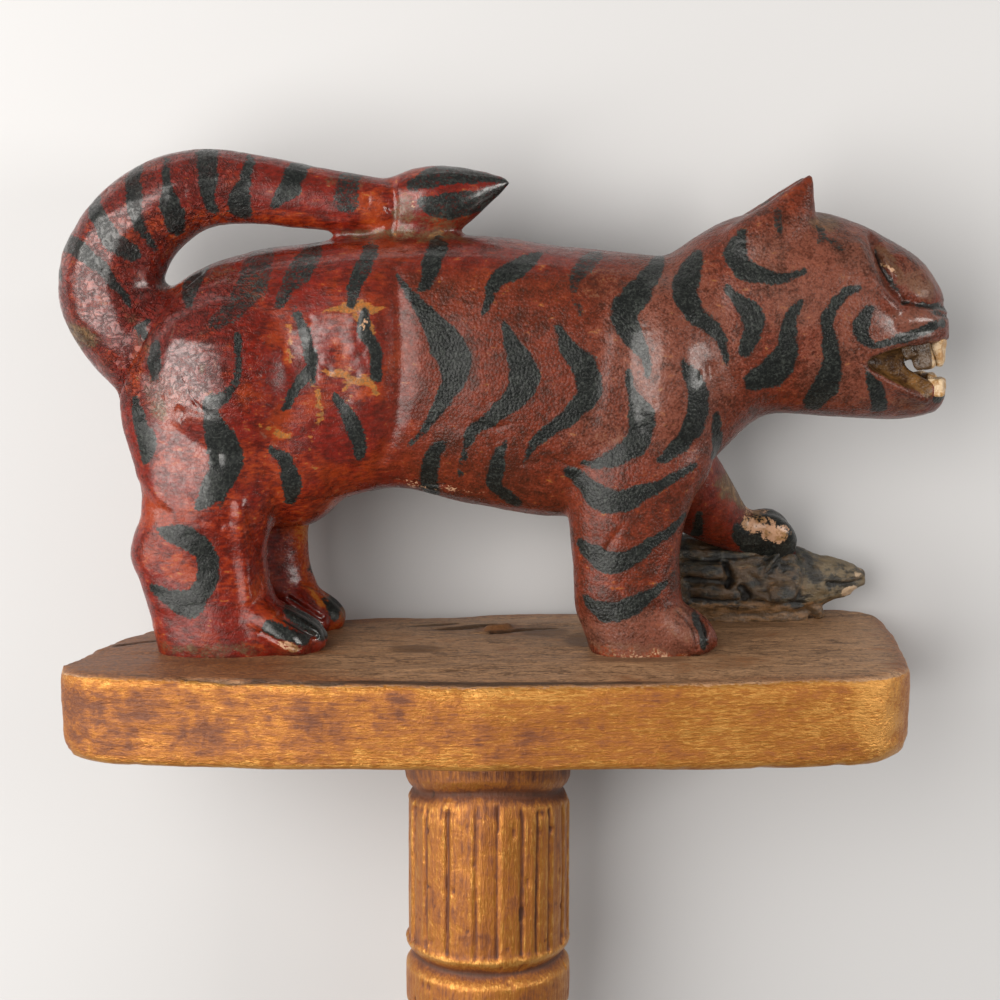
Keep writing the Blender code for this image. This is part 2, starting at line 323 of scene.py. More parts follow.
class Clay:
    """A heap of closed forms in one mesh, in upright millimetres, before they are melted together."""

    def __init__(self) -> None:
        """Starts with nothing."""
        self.mesh = bmesh.new()

    def skin(self, rings: Sequence[Sequence[Vector]]) -> None:
        """Bridges rings of equal counts and closes both ends.

        Args:
            rings: The rings' points, in order along the form.
        """
        loops = [[self.mesh.verts.new(point) for point in ring] for ring in rings]
        sides = len(loops[0])
        for lower, upper in zip(loops, loops[1:]):
            for i in range(sides):
                j = (i + 1) % sides
                self.mesh.faces.new((lower[i], lower[j], upper[j], upper[i]))
        self.mesh.faces.new(reversed(loops[0]))
        self.mesh.faces.new(loops[-1])

    def lengthwise(self, stations: Sequence[Station], middle: float) -> None:
        """A form along x from stations of place, top, underside and half width.

        Args:
            stations: Its stations, blended into a smooth run.
            middle: The y of its middle plane.
        """
        rings = []
        for x, top, under, half in blended(stations, 4):
            centre = (x, middle, (top + under) / 2)
            rings.append(oval(centre, Vector((0, half, 0)), Vector((0, 0, (top - under) / 2)), 32, BOXY))
        self.skin(rings)

    def upright(self, stations: Sequence[Station], middle: float, shift: float = 0.0,
                power: float = BOXY) -> None:
        """A form along z from stations of height, rear, front and half width.

        Args:
            stations: Its stations, blended into a smooth run.
            middle: The y of its middle plane.
            shift: How far it is moved along x, in mm.
            power: How boxy its cross-section is.
        """
        rings = []
        for z, rear, front, half in blended(stations, 4):
            centre = ((rear + front) / 2 + shift, middle, z)
            rings.append(oval(centre, Vector(((front - rear) / 2, 0, 0)), Vector((0, half, 0)), 28, power))
        self.skin(rings)

    def limb(self, stations: Sequence[Station], flattening: float = 1.0) -> None:
        """A bent round form through stations of x, y, z and radius.

        Args:
            stations: Its stations, blended into a smooth run.
            flattening: The share of its radius that it keeps along y.
        """
        path = blended(stations, 5)
        spots = [Vector(p[:3]) for p in path]
        rings = []
        for i, station in enumerate(path):
            along = (spots[min(i + 1, len(path) - 1)] - spots[max(i - 1, 0)]).normalized()
            side = along.cross(Vector((0, 1, 0)))
            side = side.normalized() if side.length > 0.01 else Vector((0, 0, 1))
            across = side.cross(along).normalized()
            rings.append(oval(spots[i], side * station[3], across * station[3] * flattening, 24, ROUND))
        self.skin(rings)

    def lump(self, centre: Point, radii: Point, tilt: float = 0.0) -> None:
        """An ellipsoid, tipped nose up by tilt degrees.

        Args:
            centre: Its middle.
            radii: Its half lengths.
            tilt: Degrees, nose up.
        """
        turn = Matrix.Rotation(math.radians(-tilt), 4, "Y")
        shape = Matrix.Translation(centre) @ turn @ Matrix.Diagonal((*radii, 1))
        bmesh.ops.create_uvsphere(self.mesh, u_segments=32, v_segments=20, radius=1, matrix=shape)

    def add(self, piece: Piece) -> None:
        """Takes in another piece's mesh and removes the piece."""
        self.mesh.from_mesh(piece.data)
        bpy.data.objects.remove(piece)

    def done(self, name: str) -> Piece:
        """Turns the heap into one object.

        Args:
            name: Its name.

        Returns:
            The new object.
        """
        bmesh.ops.recalc_face_normals(self.mesh, faces=self.mesh.faces)
        mesh = bpy.data.meshes.new(name)
        self.mesh.to_mesh(mesh)
        self.mesh.free()
        made = bpy.data.objects.new(name, mesh)
        bpy.context.scene.collection.objects.link(made)
        return made


@dataclass(frozen=True)
class Stroke:
    """A brush or gouge mark in side view.

    Attributes:
        points: Place along x, height and half width at each given point, in mm.
        strength: How much paint it carries, or how deep it cuts in mm; below zero it raises.
        side: Which faces it reaches.
    """

    margin: ClassVar[float] = 6.0  # how far outside its outline a place is still measured, in mm

    points: tuple[Point, ...]
    strength: float
    side: Side

    def _measure(self, x: np.ndarray, z: np.ndarray, margin: float, score: Callable) -> np.ndarray:
        """The best score of any stretch of the stroke at each place, and minus the margin away from it.

        Args:
            x: Places along x.
            z: Heights, or places across in plan.
            margin: How far outside its outline a place is still measured, in mm.
            score: Makes a score from the distance to the middle line and the half width.

        Returns:
            One score for each place.
        """
        path = np.array(blended(self.points, 6))
        best = np.full(len(x), -margin)
        reach = margin + path[:, 2].max()
        near = np.flatnonzero(
            (x > path[:, 0].min() - reach) & (x < path[:, 0].max() + reach)
            & (z > path[:, 1].min() - reach) & (z < path[:, 1].max() + reach)
        )
        px, pz = x[near], z[near]
        found = best[near]
        for (ax, az, aw), (bx, bz, bw) in zip(path, path[1:]):
            span = max((bx - ax) ** 2 + (bz - az) ** 2, 1e-9)
            t = np.clip(((px - ax) * (bx - ax) + (pz - az) * (bz - az)) / span, 0, 1)
            far = np.hypot(px - ax - t * (bx - ax), pz - az - t * (bz - az))
            found = np.maximum(found, score(far, aw + t * (bw - aw)))
        best[near] = found
        return best

    def inside(self, x: np.ndarray, z: np.ndarray) -> np.ndarray:
        """How far inside its outline each place is, in mm; below zero outside."""
        return self._measure(x, z, self.margin, lambda far, half: half - far)

    def nearness(self, x: np.ndarray, z: np.ndarray) -> np.ndarray:
        """1 on its middle line, falling smoothly to 0 at its edges."""
        return soft_step(self._measure(x, z, 1.0, lambda far, half: 1 - far / np.maximum(half, 0.05)), 0, 1)


@dataclass(frozen=True)
class Patch:
    """A soft-edged oval area in side view: its middle, half lengths and strength."""

    x: float
    z: float
    across: float
    up: float
    strength: float = 1.0
    tilt: float = 0.0

    def amount(self, x: np.ndarray, z: np.ndarray) -> np.ndarray:
        """Its strength at each place, fading to 0 at its edge.

        Args:
            x: Places along x.
            z: Heights, or places across in plan.

        Returns:
            One number for each place.
        """
        c, s = math.cos(math.radians(self.tilt)), math.sin(math.radians(self.tilt))
        u = ((x - self.x) * c + (z - self.z) * s) / self.across
        v = ((z - self.z) * c - (x - self.x) * s) / self.up
        return self.strength * soft_step(1.25 - np.hypot(u, v), 0, 0.75)


def strokes(*rows: tuple[float | Point, ...], side: Side = Side.BOTH) -> tuple[Stroke, ...]:
    """Strokes from rows of a strength and then the points, all reaching the same faces."""
    return tuple(Stroke(row[1:], row[0], side) for row in rows)


def patches(*rows: Station) -> tuple[Patch, ...]:
    """Patches from rows of their middle, half lengths, strength and tilt."""
    return tuple(Patch(*row) for row in rows)


def patched(places: Sequence[Patch], x: np.ndarray, z: np.ndarray) -> np.ndarray:
    """The strongest of several patches at each place, with those below zero taken off it."""
    amounts = [np.zeros(len(x)), *(patch.amount(x, z) for patch in places)]
    return np.maximum.reduce(amounts) + np.minimum.reduce(amounts)


def traced(marks: Sequence[Stroke], x: np.ndarray, z: np.ndarray) -> np.ndarray:
    """The strongest of several strokes at each place."""
    return np.maximum.reduce([mark.strength * mark.nearness(x, z) for mark in marks])


def carve(piece: Piece, gouges: Sequence[Stroke]) -> None:
    """Cuts gouges into a form, or raises it, along its normals.

    Args:
        piece: The mesh object.
        gouges: The gouges, seen from the side.
    """
    x, _, z = points_of(piece).T
    facing = -normals_of(piece)[:, 1]
    near = soft_step(facing, -0.1, 0.35)
    reach = {Side.NEAR: near, Side.BOTH: near + soft_step(-facing, -0.1, 0.35)}
    depth = np.zeros(len(x))
    for gouge in gouges:
        depth += gouge.strength * gouge.nearness(x, z) * reach[gouge.side]
    push(piece, -depth)


# ---------------------------------------------------------------- shader maths


class Value:
    """A number that varies over a surface, with the arithmetic of Python's operators."""

    def __init__(self, desk: "Finish", socket: Socket) -> None:
        """Wraps one socket of a finish's node tree."""
        self.desk = desk
        self.socket = socket

    def _math(self, operation: str, *others: "Value | float") -> "Value":
        """One Math node with this value first."""
        return self.desk.maths(operation, self, *others)

    def __add__(self, other: "Value | float") -> "Value":
        """self + other."""
        return self._math("ADD", other)

    __radd__ = __add__

    def __sub__(self, other: "Value | float") -> "Value":
        """self - other."""
        return self._math("SUBTRACT", other)

    def __rsub__(self, other: float) -> "Value":
        """other - self."""
        return self.desk.maths("SUBTRACT", other, self)

    def __mul__(self, other: "Value | float") -> "Value":
        """self * other."""
        return self._math("MULTIPLY", other)

    def clamped(self) -> "Value":
        """This value kept between 0 and 1."""
        return self._math("MAXIMUM", 0.0)._math("MINIMUM", 1.0)

    def ragged(self, *noises: tuple["Value", float]) -> "Value":
        """This value with noises about 0.5 added, each by its share, so that edges on it break up.

        Args:
            *noises: Each noise and its share.

        Returns:
            The sum.
        """
        total = self
        for noise, share in noises:
            total = total + (noise - 0.5) * share
        return total

    def ridges(self, sharpness: float) -> "Value":
        """1 where this noise about 0.5 crosses its middle, falling to 0 on both sides."""
        return (1 - self.desk.maths("ABSOLUTE", self * 2 - 1) * sharpness).clamped()

    def rise(self, low: float, high: float) -> "Value":
        """0 below low, 1 above high, and a smooth rise between them."""
        made = self.desk.node(
            "ShaderNodeMapRange",
            {"interpolation_type": "SMOOTHSTEP"},
            {"Value": self, "From Min": low, "From Max": high},
        )
        return Value(self.desk, made.outputs[0])


Paint = Colour | Socket


class Finish:
    """A material's node tree, built from one Principled shader; each finish fills in dress()."""

    def __init__(self, name: str) -> None:
        """Starts an empty tree with its coordinates in millimetres.

        Args:
            name: The material's name.
        """
        self.material = bpy.data.materials.new(name)
        self.material.use_nodes = True
        self.tree = self.material.node_tree
        self.tree.nodes.clear()
        place_node = self.node("ShaderNodeTexCoord", {}, {})
        self.coords = self.vector("SCALE", place_node.outputs["Object"], scale=1 / MM)

    def node(self, kind: str, settings: dict[str, object], inputs: dict[str | int, object]) -> bpy.types.Node:
        """Adds one node.

        Args:
            kind: The node's type.
            settings: Its properties, set before its sockets.
            inputs: Values or links for its sockets, by name or number.

        Returns:
            The node.
        """
        made = self.tree.nodes.new(kind)
        for name, value in settings.items():
            setattr(made, name, value)
        for key, value in inputs.items():
            socket = made.inputs[key]
            source = value.socket if isinstance(value, Value) else value
            if isinstance(source, Socket):
                self.tree.links.new(source, socket)
            elif isinstance(source, tuple) and socket.type == "RGBA":
                socket.default_value = (*source, 1.0)
            else:
                socket.default_value = source
        return made

    def maths(self, operation: str, *values: "Value | float") -> Value:
        """A Math node on values or numbers."""
        made = self.node("ShaderNodeMath", {"operation": operation}, dict(enumerate(values)))
        return Value(self, made.outputs[0])

    def vector(self, operation: str, *vectors: object, scale: float = 1.0) -> Socket:
        """A Vector Math node on vectors.

        Args:
            operation: The node's operation.
            *vectors: Vectors or links for its sockets.
            scale: The factor of a SCALE node.

        Returns:
            The node's output.
        """
        inputs: dict[str | int, object] = dict(enumerate(vectors))
        if operation == "SCALE":
            inputs["Scale"] = scale
        return self.node("ShaderNodeVectorMath", {"operation": operation}, inputs).outputs[0]

    def mix(self, share: Value, first: Paint, second: Paint) -> Socket:
        """A colour between two others."""
        return self.node("ShaderNodeMix", {"data_type": "RGBA"}, {0: share, 6: first, 7: second}).outputs[2]

    def coats(self, ground: Paint, *layers: tuple[Value, Paint]) -> Paint:
        """A ground with coats laid over it in turn, each by its share."""
        for share, paint in layers:
            ground = self.mix(share, ground, paint)
        return ground

    def noted(self, name: str) -> Value:
        """A number that the mesh holds for each vertex."""
        return Value(self, self.node("ShaderNodeAttribute", {"attribute_name": name}, {}).outputs["Fac"])

    def noise(self, size: float, detail: float = 2.0, rough: float = 0.5, twist: float = 0.0,
              stretch: Point | None = None) -> Value:
        """Cloudy noise about 0.5, of features of the given size in mm, drawn out along each axis."""
        made = self.node(
            "ShaderNodeTexNoise", {},
            {"Vector": self.vector("DIVIDE", self.coords, stretch) if stretch else self.coords,
             "Scale": 1 / size, "Detail": detail, "Roughness": rough, "Distortion": twist},
        )
        return Value(self, made.outputs[0])

    def cells(self, size: float, wobble: float) -> Value:
        """Distance to the middle of scattered cells of the given size in mm, with bent outlines.

        Args:
            size: The size of a cell, in mm.
            wobble: How far the cells' outlines are bent.

        Returns:
            The distance.
        """
        bends = {"Vector": self.coords, "Scale": 0.6 / size, "Detail": 3.0}
        drift = self.node("ShaderNodeTexNoise", {}, bends).outputs[1]
        where = self.vector("ADD", self.coords, self.vector("SCALE", drift, scale=wobble))
        made = self.node("ShaderNodeTexVoronoi", {}, {"Vector": where, "Scale": 1 / size})
        return Value(self, made.outputs["Distance"])

    def shade(self, colour: Paint, roughness: Value | float, metallic: Value | float, height: Value | None,
              relief: float, **others: Value | float) -> Material:
        """Closes the tree with a Principled shader.

        Args:
            colour: The base colour.
            roughness: The roughness.
            metallic: The metallic value.
            height: The fine relief, from 0 to 1.
            relief: How many millimetres a height of 1 stands for.
            **others: Numbers or values for other sockets, with _ for each space in their names.

        Returns:
            The finished material.
        """
        inputs: dict[str | int, object] = {"Base Color": colour, "Roughness": roughness, "Metallic": metallic}
        for name, value in others.items():
            inputs[name.replace("_", " ")] = value
        if height is not None:
            lifted = {"Strength": 1.0, "Distance": relief * MM, "Height": height}
            inputs["Normal"] = self.node("ShaderNodeBump", {}, lifted).outputs[0]
        shader = self.node("ShaderNodeBsdfPrincipled", {}, inputs)
        self.node("ShaderNodeOutputMaterial", {}, {"Surface": shader.outputs[0]})
        return self.material


@dataclass(frozen=True)
class LacquerPaint:
    """Glossy old paint on the cat: brick and crimson reds, charcoal stripes, rubbed and dirty places, darker
    hollows, painted shade on the faces that look down, and painted highlights on the muzzle and the tail's
    bud.
    """

    brick: Colour = (0.122, 0.0190, 0.0076)
    brick_dark: Colour = (0.050, 0.0125, 0.0060)
    dusty: Colour = (0.185, 0.080, 0.054)
    crimson: Colour = (0.168, 0.0085, 0.0032)
    crimson_dark: Colour = (0.056, 0.0060, 0.0030)
    orange: Colour = (0.252, 0.034, 0.0050)
    amber: Colour = (0.320, 0.105, 0.015)
    charcoal: Colour = (0.0065, 0.0075, 0.0070)
    slate: Colour = (0.040, 0.045, 0.039)
    ochre: Colour = (0.165, 0.080, 0.024)
    umber: Colour = (0.040, 0.017, 0.0065)
    olive: Colour = (0.080, 0.047, 0.021)
    bare: Colour = (0.260, 0.140, 0.058)
    flesh: Colour = (0.440, 0.255, 0.155)
    # a dark colour laid as random grime, in the hollows, and as painted shade on the faces that look down
    grime_and_shade: Colour = (0.017, 0.0075, 0.0045)

    def dress(self) -> Material:
        """Builds the material.

        Returns:
            The finished material.
        """
        f = Finish("cat_lacquer_paint")
        broad = f.noise(13, 3, 0.55)
        mottle = f.noise(3.2, 4, 0.6, 0.4)
        stipple = f.noise(0.75, 3, 0.65, 0.6)
        brush = f.noise(0.9, 3, 0.6, 0.5, (3.4, 1, 1))
        grit = f.noise(0.42, 2, 0.6)
        speck = f.cells(0.8, 0.5)
        varnish, glow, tan = f.noted("varnish"), f.noted("orange"), f.noted("tan")
        crazed, pale = f.noted("crazed"), f.noted("pale")
        brick = f.coats(
            f.mix((stipple * 0.75 + mottle * 0.45).rise(0.42, 0.74), self.brick_dark, self.brick),
            ((mottle * 0.8 + broad * 0.5).rise(0.68, 0.92) * 0.22, self.orange),
            ((broad * 0.8 + mottle * 0.5).rise(0.66, 0.50) * 0.45, self.grime_and_shade),
            ((1 - speck).rise(0.62, 0.95) * stipple.rise(0.4, 0.75) * 0.55, self.dusty),
        )
        crimson = f.coats(
            f.mix((brush * 0.55 + mottle * 0.6).rise(0.40, 0.78), self.crimson_dark, self.crimson),
            ((broad * 0.9 + brush * 0.35).rise(0.62, 0.85) * 0.7, self.orange),
        )
        throat = f.mix((mottle * 0.9 + brush * 0.4).rise(0.50, 0.85), self.umber, self.ochre)
        smeared = f.mix(stipple.rise(0.4, 0.62), self.ochre, self.amber)
        # pale dust, and a painted highlight on the muzzle
        dust = f.noted("dust").ragged((mottle, 1.1), (stipple, 1.7), (grit, 0.7)).rise(0.10, 0.90)
        red = f.coats(
            f.mix(varnish, brick, crimson),
            ((glow + (brush * 0.6 + mottle * 0.6 - 0.6) * 1.5).rise(0.30, 0.85) * 0.85, self.orange),
            ((glow.ragged((brush, 2.4), (mottle, 1.2)) - 0.72).rise(0.1, 0.6) * 0.8, self.amber),
            ((tan + (mottle + stipple - 1.0) * 0.9).rise(0.3, 0.8), self.olive),
            (((tan * 1.2).ragged((mottle, 1.8)) - 0.6).rise(0.2, 0.7), self.bare),
            (f.noted("mouth").rise(0.2, 0.6), throat),
            (f.noted("smear").ragged((brush, 1.6), (mottle, 1.4)).rise(0.28, 0.6) * 0.9, smeared),
            (f.noted("scuff").ragged((mottle, 0.8), (stipple, 0.5)).rise(0.25, 0.7) * 0.6, self.dusty),
            (dust * 0.5, self.dusty),
        )
        outline = f.noted("stripe").ragged((mottle, 2.0), (stipple, 2.0)).rise(-0.25, 0.25)
        worn = (brush * 0.5 + stipple * 0.55 + f.noted("cover") * 0.54).rise(0.68, 0.90)
        ink = f.mix((stipple * 0.8 + mottle * 0.3).rise(0.50, 0.80), self.charcoal, self.slate)
        # darker in the hollows, and painted shade on the faces that look down
        darkening = f.noted("hollow").ragged((mottle, 0.5)).rise(0.12, 0.85)
        chalk = f.mix(mottle.rise(0.42, 0.58), self.bare, self.flesh)
        # flaked paint, and a painted highlight on the tail's bud
        flaked = pale.ragged((mottle, 1.2), (stipple, 2.2)).rise(0.38, 0.62) * pale.rise(0.05, 0.25)
        ridges = f.noise(3.4, 3, 0.55, 2.2).ridges(3.2)
        cracks = ridges * ridges * crazed
        colour = f.coats(
            red, (outline * worn, ink), (darkening * 0.85, self.grime_and_shade), (flaked, chalk),
            (cracks * broad.rise(0.45, 0.65) * 0.35, self.crimson_dark),
        )
        folds = f.noise(2.4, 3, 0.65, 0.5).ridges(5.5)
        height = (
            ((1 - speck) * 0.55 + stipple * 0.4 + grit * 0.35 + brush * 0.2) * (1 - varnish * 0.75)
            + folds * (crazed * 2.0 + varnish * 0.12 + 0.03)
        )
        rough = (0.22 + mottle * 0.12 + pale * 0.25 + tan * 0.2 + darkening * 0.25).clamped()
        gloss = varnish * 0.8 + f.noted("sheen") + 0.1
        gloss = gloss * (1 - folds * 0.5) * (0.5 + mottle) * (1 - tan * 0.5)
        return f.shade(
            colour, rough, 0.0, height, 0.27,
            Specular_IOR_Level=0.18, Coat_Weight=(gloss * (1 - speck * 0.5)).clamped(), Coat_Roughness=0.19,
            Coat_IOR=1.6,
        )


@dataclass(frozen=True)
class ToothFinish:
    """Cream and worn gold on the front teeth, brown behind them."""

    cream: Colour = (0.52, 0.38, 0.23)
    gold: Colour = (0.32, 0.165, 0.050)
    brown: Colour = (0.060, 0.030, 0.010)
    soot: Colour = (0.014, 0.007, 0.004)

    def dress(self) -> Material:
        """Builds the material.

        Returns:
            The finished material.
        """
        f = Finish("cat_teeth_gold")
        patch = f.noise(2.2, 4, 0.6, 0.8)
        fine = f.noise(0.6, 2)
        stain = f.noted("stain")
        colour = f.coats(
            f.mix(patch.rise(0.38, 0.62), self.gold, self.cream),
            (stain.ragged((patch, 0.8), (fine, 0.4)).rise(0.3, 0.7), self.brown),
            ((stain * 0.6 + (0.5 - patch) * 2.2).rise(0.5, 1.0) * 0.7, self.soot),
        )
        return f.shade(colour, patch * 0.3 + 0.2, 0.0, fine * 0.5 + patch * 0.5, 0.6)


@dataclass(frozen=True)
class PreyPaint:
    """Dusty near-black paint on the prey, worn to brown wood below and chipped to cream at its mouth."""

    soot: Colour = (0.0075, 0.0072, 0.0062)
    slate: Colour = (0.040, 0.040, 0.027)
    brown: Colour = (0.068, 0.036, 0.014)
    dust: Colour = (0.150, 0.112, 0.062)
    wood: Colour = (0.175, 0.090, 0.036)
    cream: Colour = (0.40, 0.28, 0.175)

    def dress(self) -> Material:
        """Builds the material.

        Returns:
            The finished material.
        """
        f = Finish("prey_dark_paint")
        broad = f.noise(6, 3, 0.6)
        mottle = f.noise(2.2, 4, 0.7, 0.6, (1.8, 1, 1))
        stipple = f.noise(0.6, 3, 0.65, 0.4)
        streak = f.noise(0.9, 3, 0.65, 0.6, (5, 1, 1))
        face, hollow = f.noted("face"), f.noted("hollow")
        worn = f.mix((streak * 0.6 + mottle * 0.5).rise(0.46, 0.64), self.brown, self.wood)
        shade = face - 0.5 + (0.5 - broad) * 3.0 + (0.5 - mottle) * 1.5
        colour = f.coats(
            f.mix((mottle * 0.7 + stipple * 0.4).rise(0.46, 0.72), self.soot, self.slate),
            ((broad * 0.8 + mottle * 0.5).rise(0.58, 0.74) * 0.85, self.brown),
            ((streak * 0.8 + mottle * 0.4).rise(0.62, 0.82) * 0.45, self.dust),
            ((face + (broad + streak - 1.0) * 1.8 - 0.35).rise(0.0, 0.7) * 0.8, self.dust),
            (shade.rise(0.35, 0.75) * 0.8, self.soot),
            ((hollow * -1.6).ragged((mottle, 0.8)).rise(0.25, 0.9) * 0.6, self.brown),
            (f.noted("low").ragged((broad, 2.2), (mottle, 1.2)).rise(0.35, 0.75), worn),
            (f.noted("chip").ragged((mottle, 1.2), (stipple, 0.5)).rise(0.45, 0.6), self.cream),
            ((hollow * 1.3).ragged((mottle, 0.3)).rise(0.1, 0.7) * 0.9, self.soot),
        )
        height = mottle * 0.5 + stipple * 0.5 + streak * 0.4
        return f.shade(colour, (mottle * 0.3 + 0.28).clamped(), 0.0, height, 0.6)


@dataclass(frozen=True)
class Gilding:
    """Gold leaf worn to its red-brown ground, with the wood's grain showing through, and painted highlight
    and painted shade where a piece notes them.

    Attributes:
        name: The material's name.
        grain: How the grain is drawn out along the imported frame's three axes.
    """

    name: str
    grain: Point
    gold: Colour = (0.370, 0.142, 0.0210)
    bright: Colour = (0.58, 0.300, 0.075)
    amber: Colour = (0.250, 0.076, 0.0105)
    bole: Colour = (0.100, 0.027, 0.0080)
    darkening: Colour = (0.022, 0.009, 0.004)

    def leaf(self, f: Finish) -> tuple[Socket, Value, Value, Value]:
        """Colour, metallic, roughness and height of the leaf, before anything that lies on it.

        Args:
            f: The finish whose node tree it is built in.

        Returns:
            The four of them, in that order.
        """
        broad = f.noise(16, 3, 0.6)
        patch = f.noise(4.5, 4, 0.65, 0.5)
        grain = f.noise(0.75, 4, 0.7, 0.35, self.grain)
        fine = f.noise(0.5, 3, 0.6, 0.2, tuple(1 + (g - 1) * 0.35 for g in self.grain))
        hollow = f.noted("hollow")
        # wear of the leaf and its hollows, with painted highlight (note above zero) and painted shade (below
        # zero) taken off or added
        wear_and_painted_light = patch * 0.6 + grain * 0.65 + broad * 0.6 - 0.1 + hollow * 0.7 - f.noted("polish") * 0.3
        deep = (hollow * 1.3).ragged((grain, 0.5)).rise(0.30, 1.0)
        colour = f.coats(
            f.mix(wear_and_painted_light.rise(0.58, 0.98), self.gold, self.amber),
            (wear_and_painted_light.rise(0.82, 1.08) * 0.9, self.bole),
            ((1.0 - wear_and_painted_light).ragged((fine, 1.1)).rise(0.24, 0.52) * 0.55, self.bright),
            (deep * 0.8, self.darkening),
        )
        metal = (0.62 - wear_and_painted_light.rise(0.66, 1.0) * 0.42) * (1 - deep)
        rough = 0.34 + wear_and_painted_light.rise(0.6, 1.0) * 0.2 + deep * 0.2
        height = grain * 0.5 + fine * 0.4 + patch * 0.4
        return colour, metal, rough, height

    def dress(self) -> Material:
        """Builds the material.

        Returns:
            The finished material.
        """
        f = Finish(self.name)
        colour, metal, rough, height = self.leaf(f)
        return f.shade(colour, rough, metal, height, 0.5)


@dataclass(frozen=True)
class PlatformFinish:
    """Gilding on the platform's sides, with a painted highlight towards its right end and painted shade
    towards its left, and dirty brown grained wood on its top, with dirt and painted contact shade round the
    cat's feet.
    """

    gilding: Gilding
    umber: Colour = (0.105, 0.050, 0.0205)
    dust: Colour = (0.460, 0.262, 0.134)
    soot: Colour = (0.026, 0.0125, 0.0060)
    knot: Colour = (0.190, 0.074, 0.022)

    def dress(self) -> Material:
        """Builds the material.

        Returns:
            The finished material.
        """
        f = Finish(self.gilding.name)
        colour, metal, rough, height = self.gilding.leaf(f)
        streak = f.noise(0.9, 4, 0.7, 0.8, (7, 1, 1))
        cloud = f.noise(10, 4, 0.65, 0.6, (2.0, 1, 1))
        fine = f.noise(0.55, 3, 0.65, 0.3, (2, 1, 1))
        scar = f.noted("scar").ragged((fine, 1.6), (streak, 1.4)).rise(0.3, 0.85) * 0.85
        wood = f.coats(
            f.mix((streak * 0.6 + fine * 0.5 + cloud * 0.3).rise(0.56, 0.80), self.umber, self.dust),
            ((cloud * 0.8 + streak * 0.35).rise(0.60, 0.74) * 0.5, self.umber),
            ((cloud * 0.9 + fine * 0.4).rise(0.70, 0.84) * 0.5, self.gilding.amber),
            # dirt and painted contact shade round the cat's feet
            (f.noted("smudge").ragged((cloud, 0.8), (fine, 0.5)).rise(0.25, 0.9) * 0.75, self.umber),
            (f.noted("edge").ragged((cloud, 0.9), (streak, 0.9)).rise(0.25, 0.85) * 0.75,
             f.mix(fine.rise(0.4, 0.65), self.gilding.bole, self.gilding.amber)),
            (f.noted("knot").ragged((fine, 0.6)).rise(0.3, 0.7) * 0.85, self.knot),
            ((scar + (f.noted("hollow") * 1.4).rise(0.3, 0.9)).clamped() * 0.95, self.soot),
        )
        top = f.noted("top").ragged((cloud, 0.9), (fine, 0.9)).rise(0.30, 0.62)
        rim = f.noted("rim").ragged((streak, 1.4), (cloud, 0.8), (fine, 0.9)).rise(0.36, 0.74)
        colour = f.coats(colour, (top, wood), (rim * 0.85, self.soot))
        bare = 1 - top
        return f.shade(
            colour, rough * bare + (fine * 0.2 + 0.42) * top, metal * bare * (1 - rim),
            height * 0.8 + streak * 0.4 + fine * 0.4, 0.5,
        )


@dataclass(frozen=True)
class FloorFinish:
    """Plain pale paper."""

    paper: Colour = (0.50, 0.50, 0.505)

    def dress(self) -> Material:
        """Builds the material."""
        f = Finish("floor_paper")
        return f.shade(self.paper, 0.9, 0.0, None, 0.0, Specular_IOR_Level=0.1)


# ---------------------------------------------------------------- the staff's place


@dataclass(frozen=True)
class StaffFrame:
    """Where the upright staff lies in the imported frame, from the mount at its foot."""

    foot_height: float = FOOT_END

    def matrix(self) -> Matrix:
        """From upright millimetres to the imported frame's metres.

        Returns:
            The matrix that every piece is turned by.
        """
        foot = next(m for m in frame["record"]["mounts"] if m["name"] == "foot_end")
        up = -Vector(foot["axis"]).normalized()
        across = Vector((1, 0, 0))
        away = up.cross(across)
        turn = Matrix((across, away, up)).transposed().to_4x4()
        origin = Vector(foot["pos_m"]) - up * self.foot_height * MM
        return Matrix.Translation(origin) @ turn @ Matrix.Scale(MM, 4)

    def hand_over(self, piece: Piece, material: Material, node: str) -> None:
        """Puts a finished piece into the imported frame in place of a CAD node.

        Args:
            piece: The piece, in upright millimetres.
            material: Its finish.
            node: The CAD node it stands for, alone or with others.
        """
        piece.data.transform(self.matrix())
        piece.data.materials.clear()
        piece.data.materials.append(material)
        pick(piece)
        bpy.ops.object.shade_smooth()
        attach(piece, BODY)
        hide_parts(node)
        LOG.info("%s: %d triangles", piece.name, triangles_in(piece))


# ---------------------------------------------------------------- the cat

TAIL_STRIPES = strokes(
    (0.8, (-115.5, 103.5, 1.2), (-113.6, 98.4, 0.8)),
    (1, (-93, 128, 2.3), (-92.5, 118, 2.1), (-91.5, 113.5, 1.8), (-87.5, 107, 0.8)),
    (1, (-104.5, 119, 2.2), (-101.5, 113.5, 2.3), (-97, 107.5, 2.6), (-93.5, 105.5, 2.6)),
    (1, (-112, 108, 2.6), (-105.5, 105, 2.3), (-99.5, 99.5, 1.6), (-94, 91.5, 0.6)),
    (1, (-85, 131, 0.8), (-84, 122, 1.4), (-83, 117, 2.8), (-82, 113.5, 2.8), (-82.5, 111, 1)),
    (1, (-74, 133, 2.9), (-73.5, 124.5, 2.6), (-73, 118.5, 1.4), (-71.5, 116, 0.8)),
    (1, (-62, 131, 0.8), (-63.5, 124, 1.8), (-65, 119, 3.2), (-65, 117, 3.2)),
    (0.9, (-49.5, 129, 3.2), (-52, 122.5, 2.5), (-55.5, 117.5, 1.2)),
    (0.6, (-36.5, 126, 2.8), (-37, 119, 3.1)),
    (0.72, (-20, 123.5, 1.5), (-13, 125.5, 2.7), (-5, 125.2, 1.8), (5, 125, 0.5)),
    (0.72, (-16.5, 118.5, 2), (-9, 117.5, 3.3), (-2, 119, 2.5), (5, 123.5, 0.9)),
)
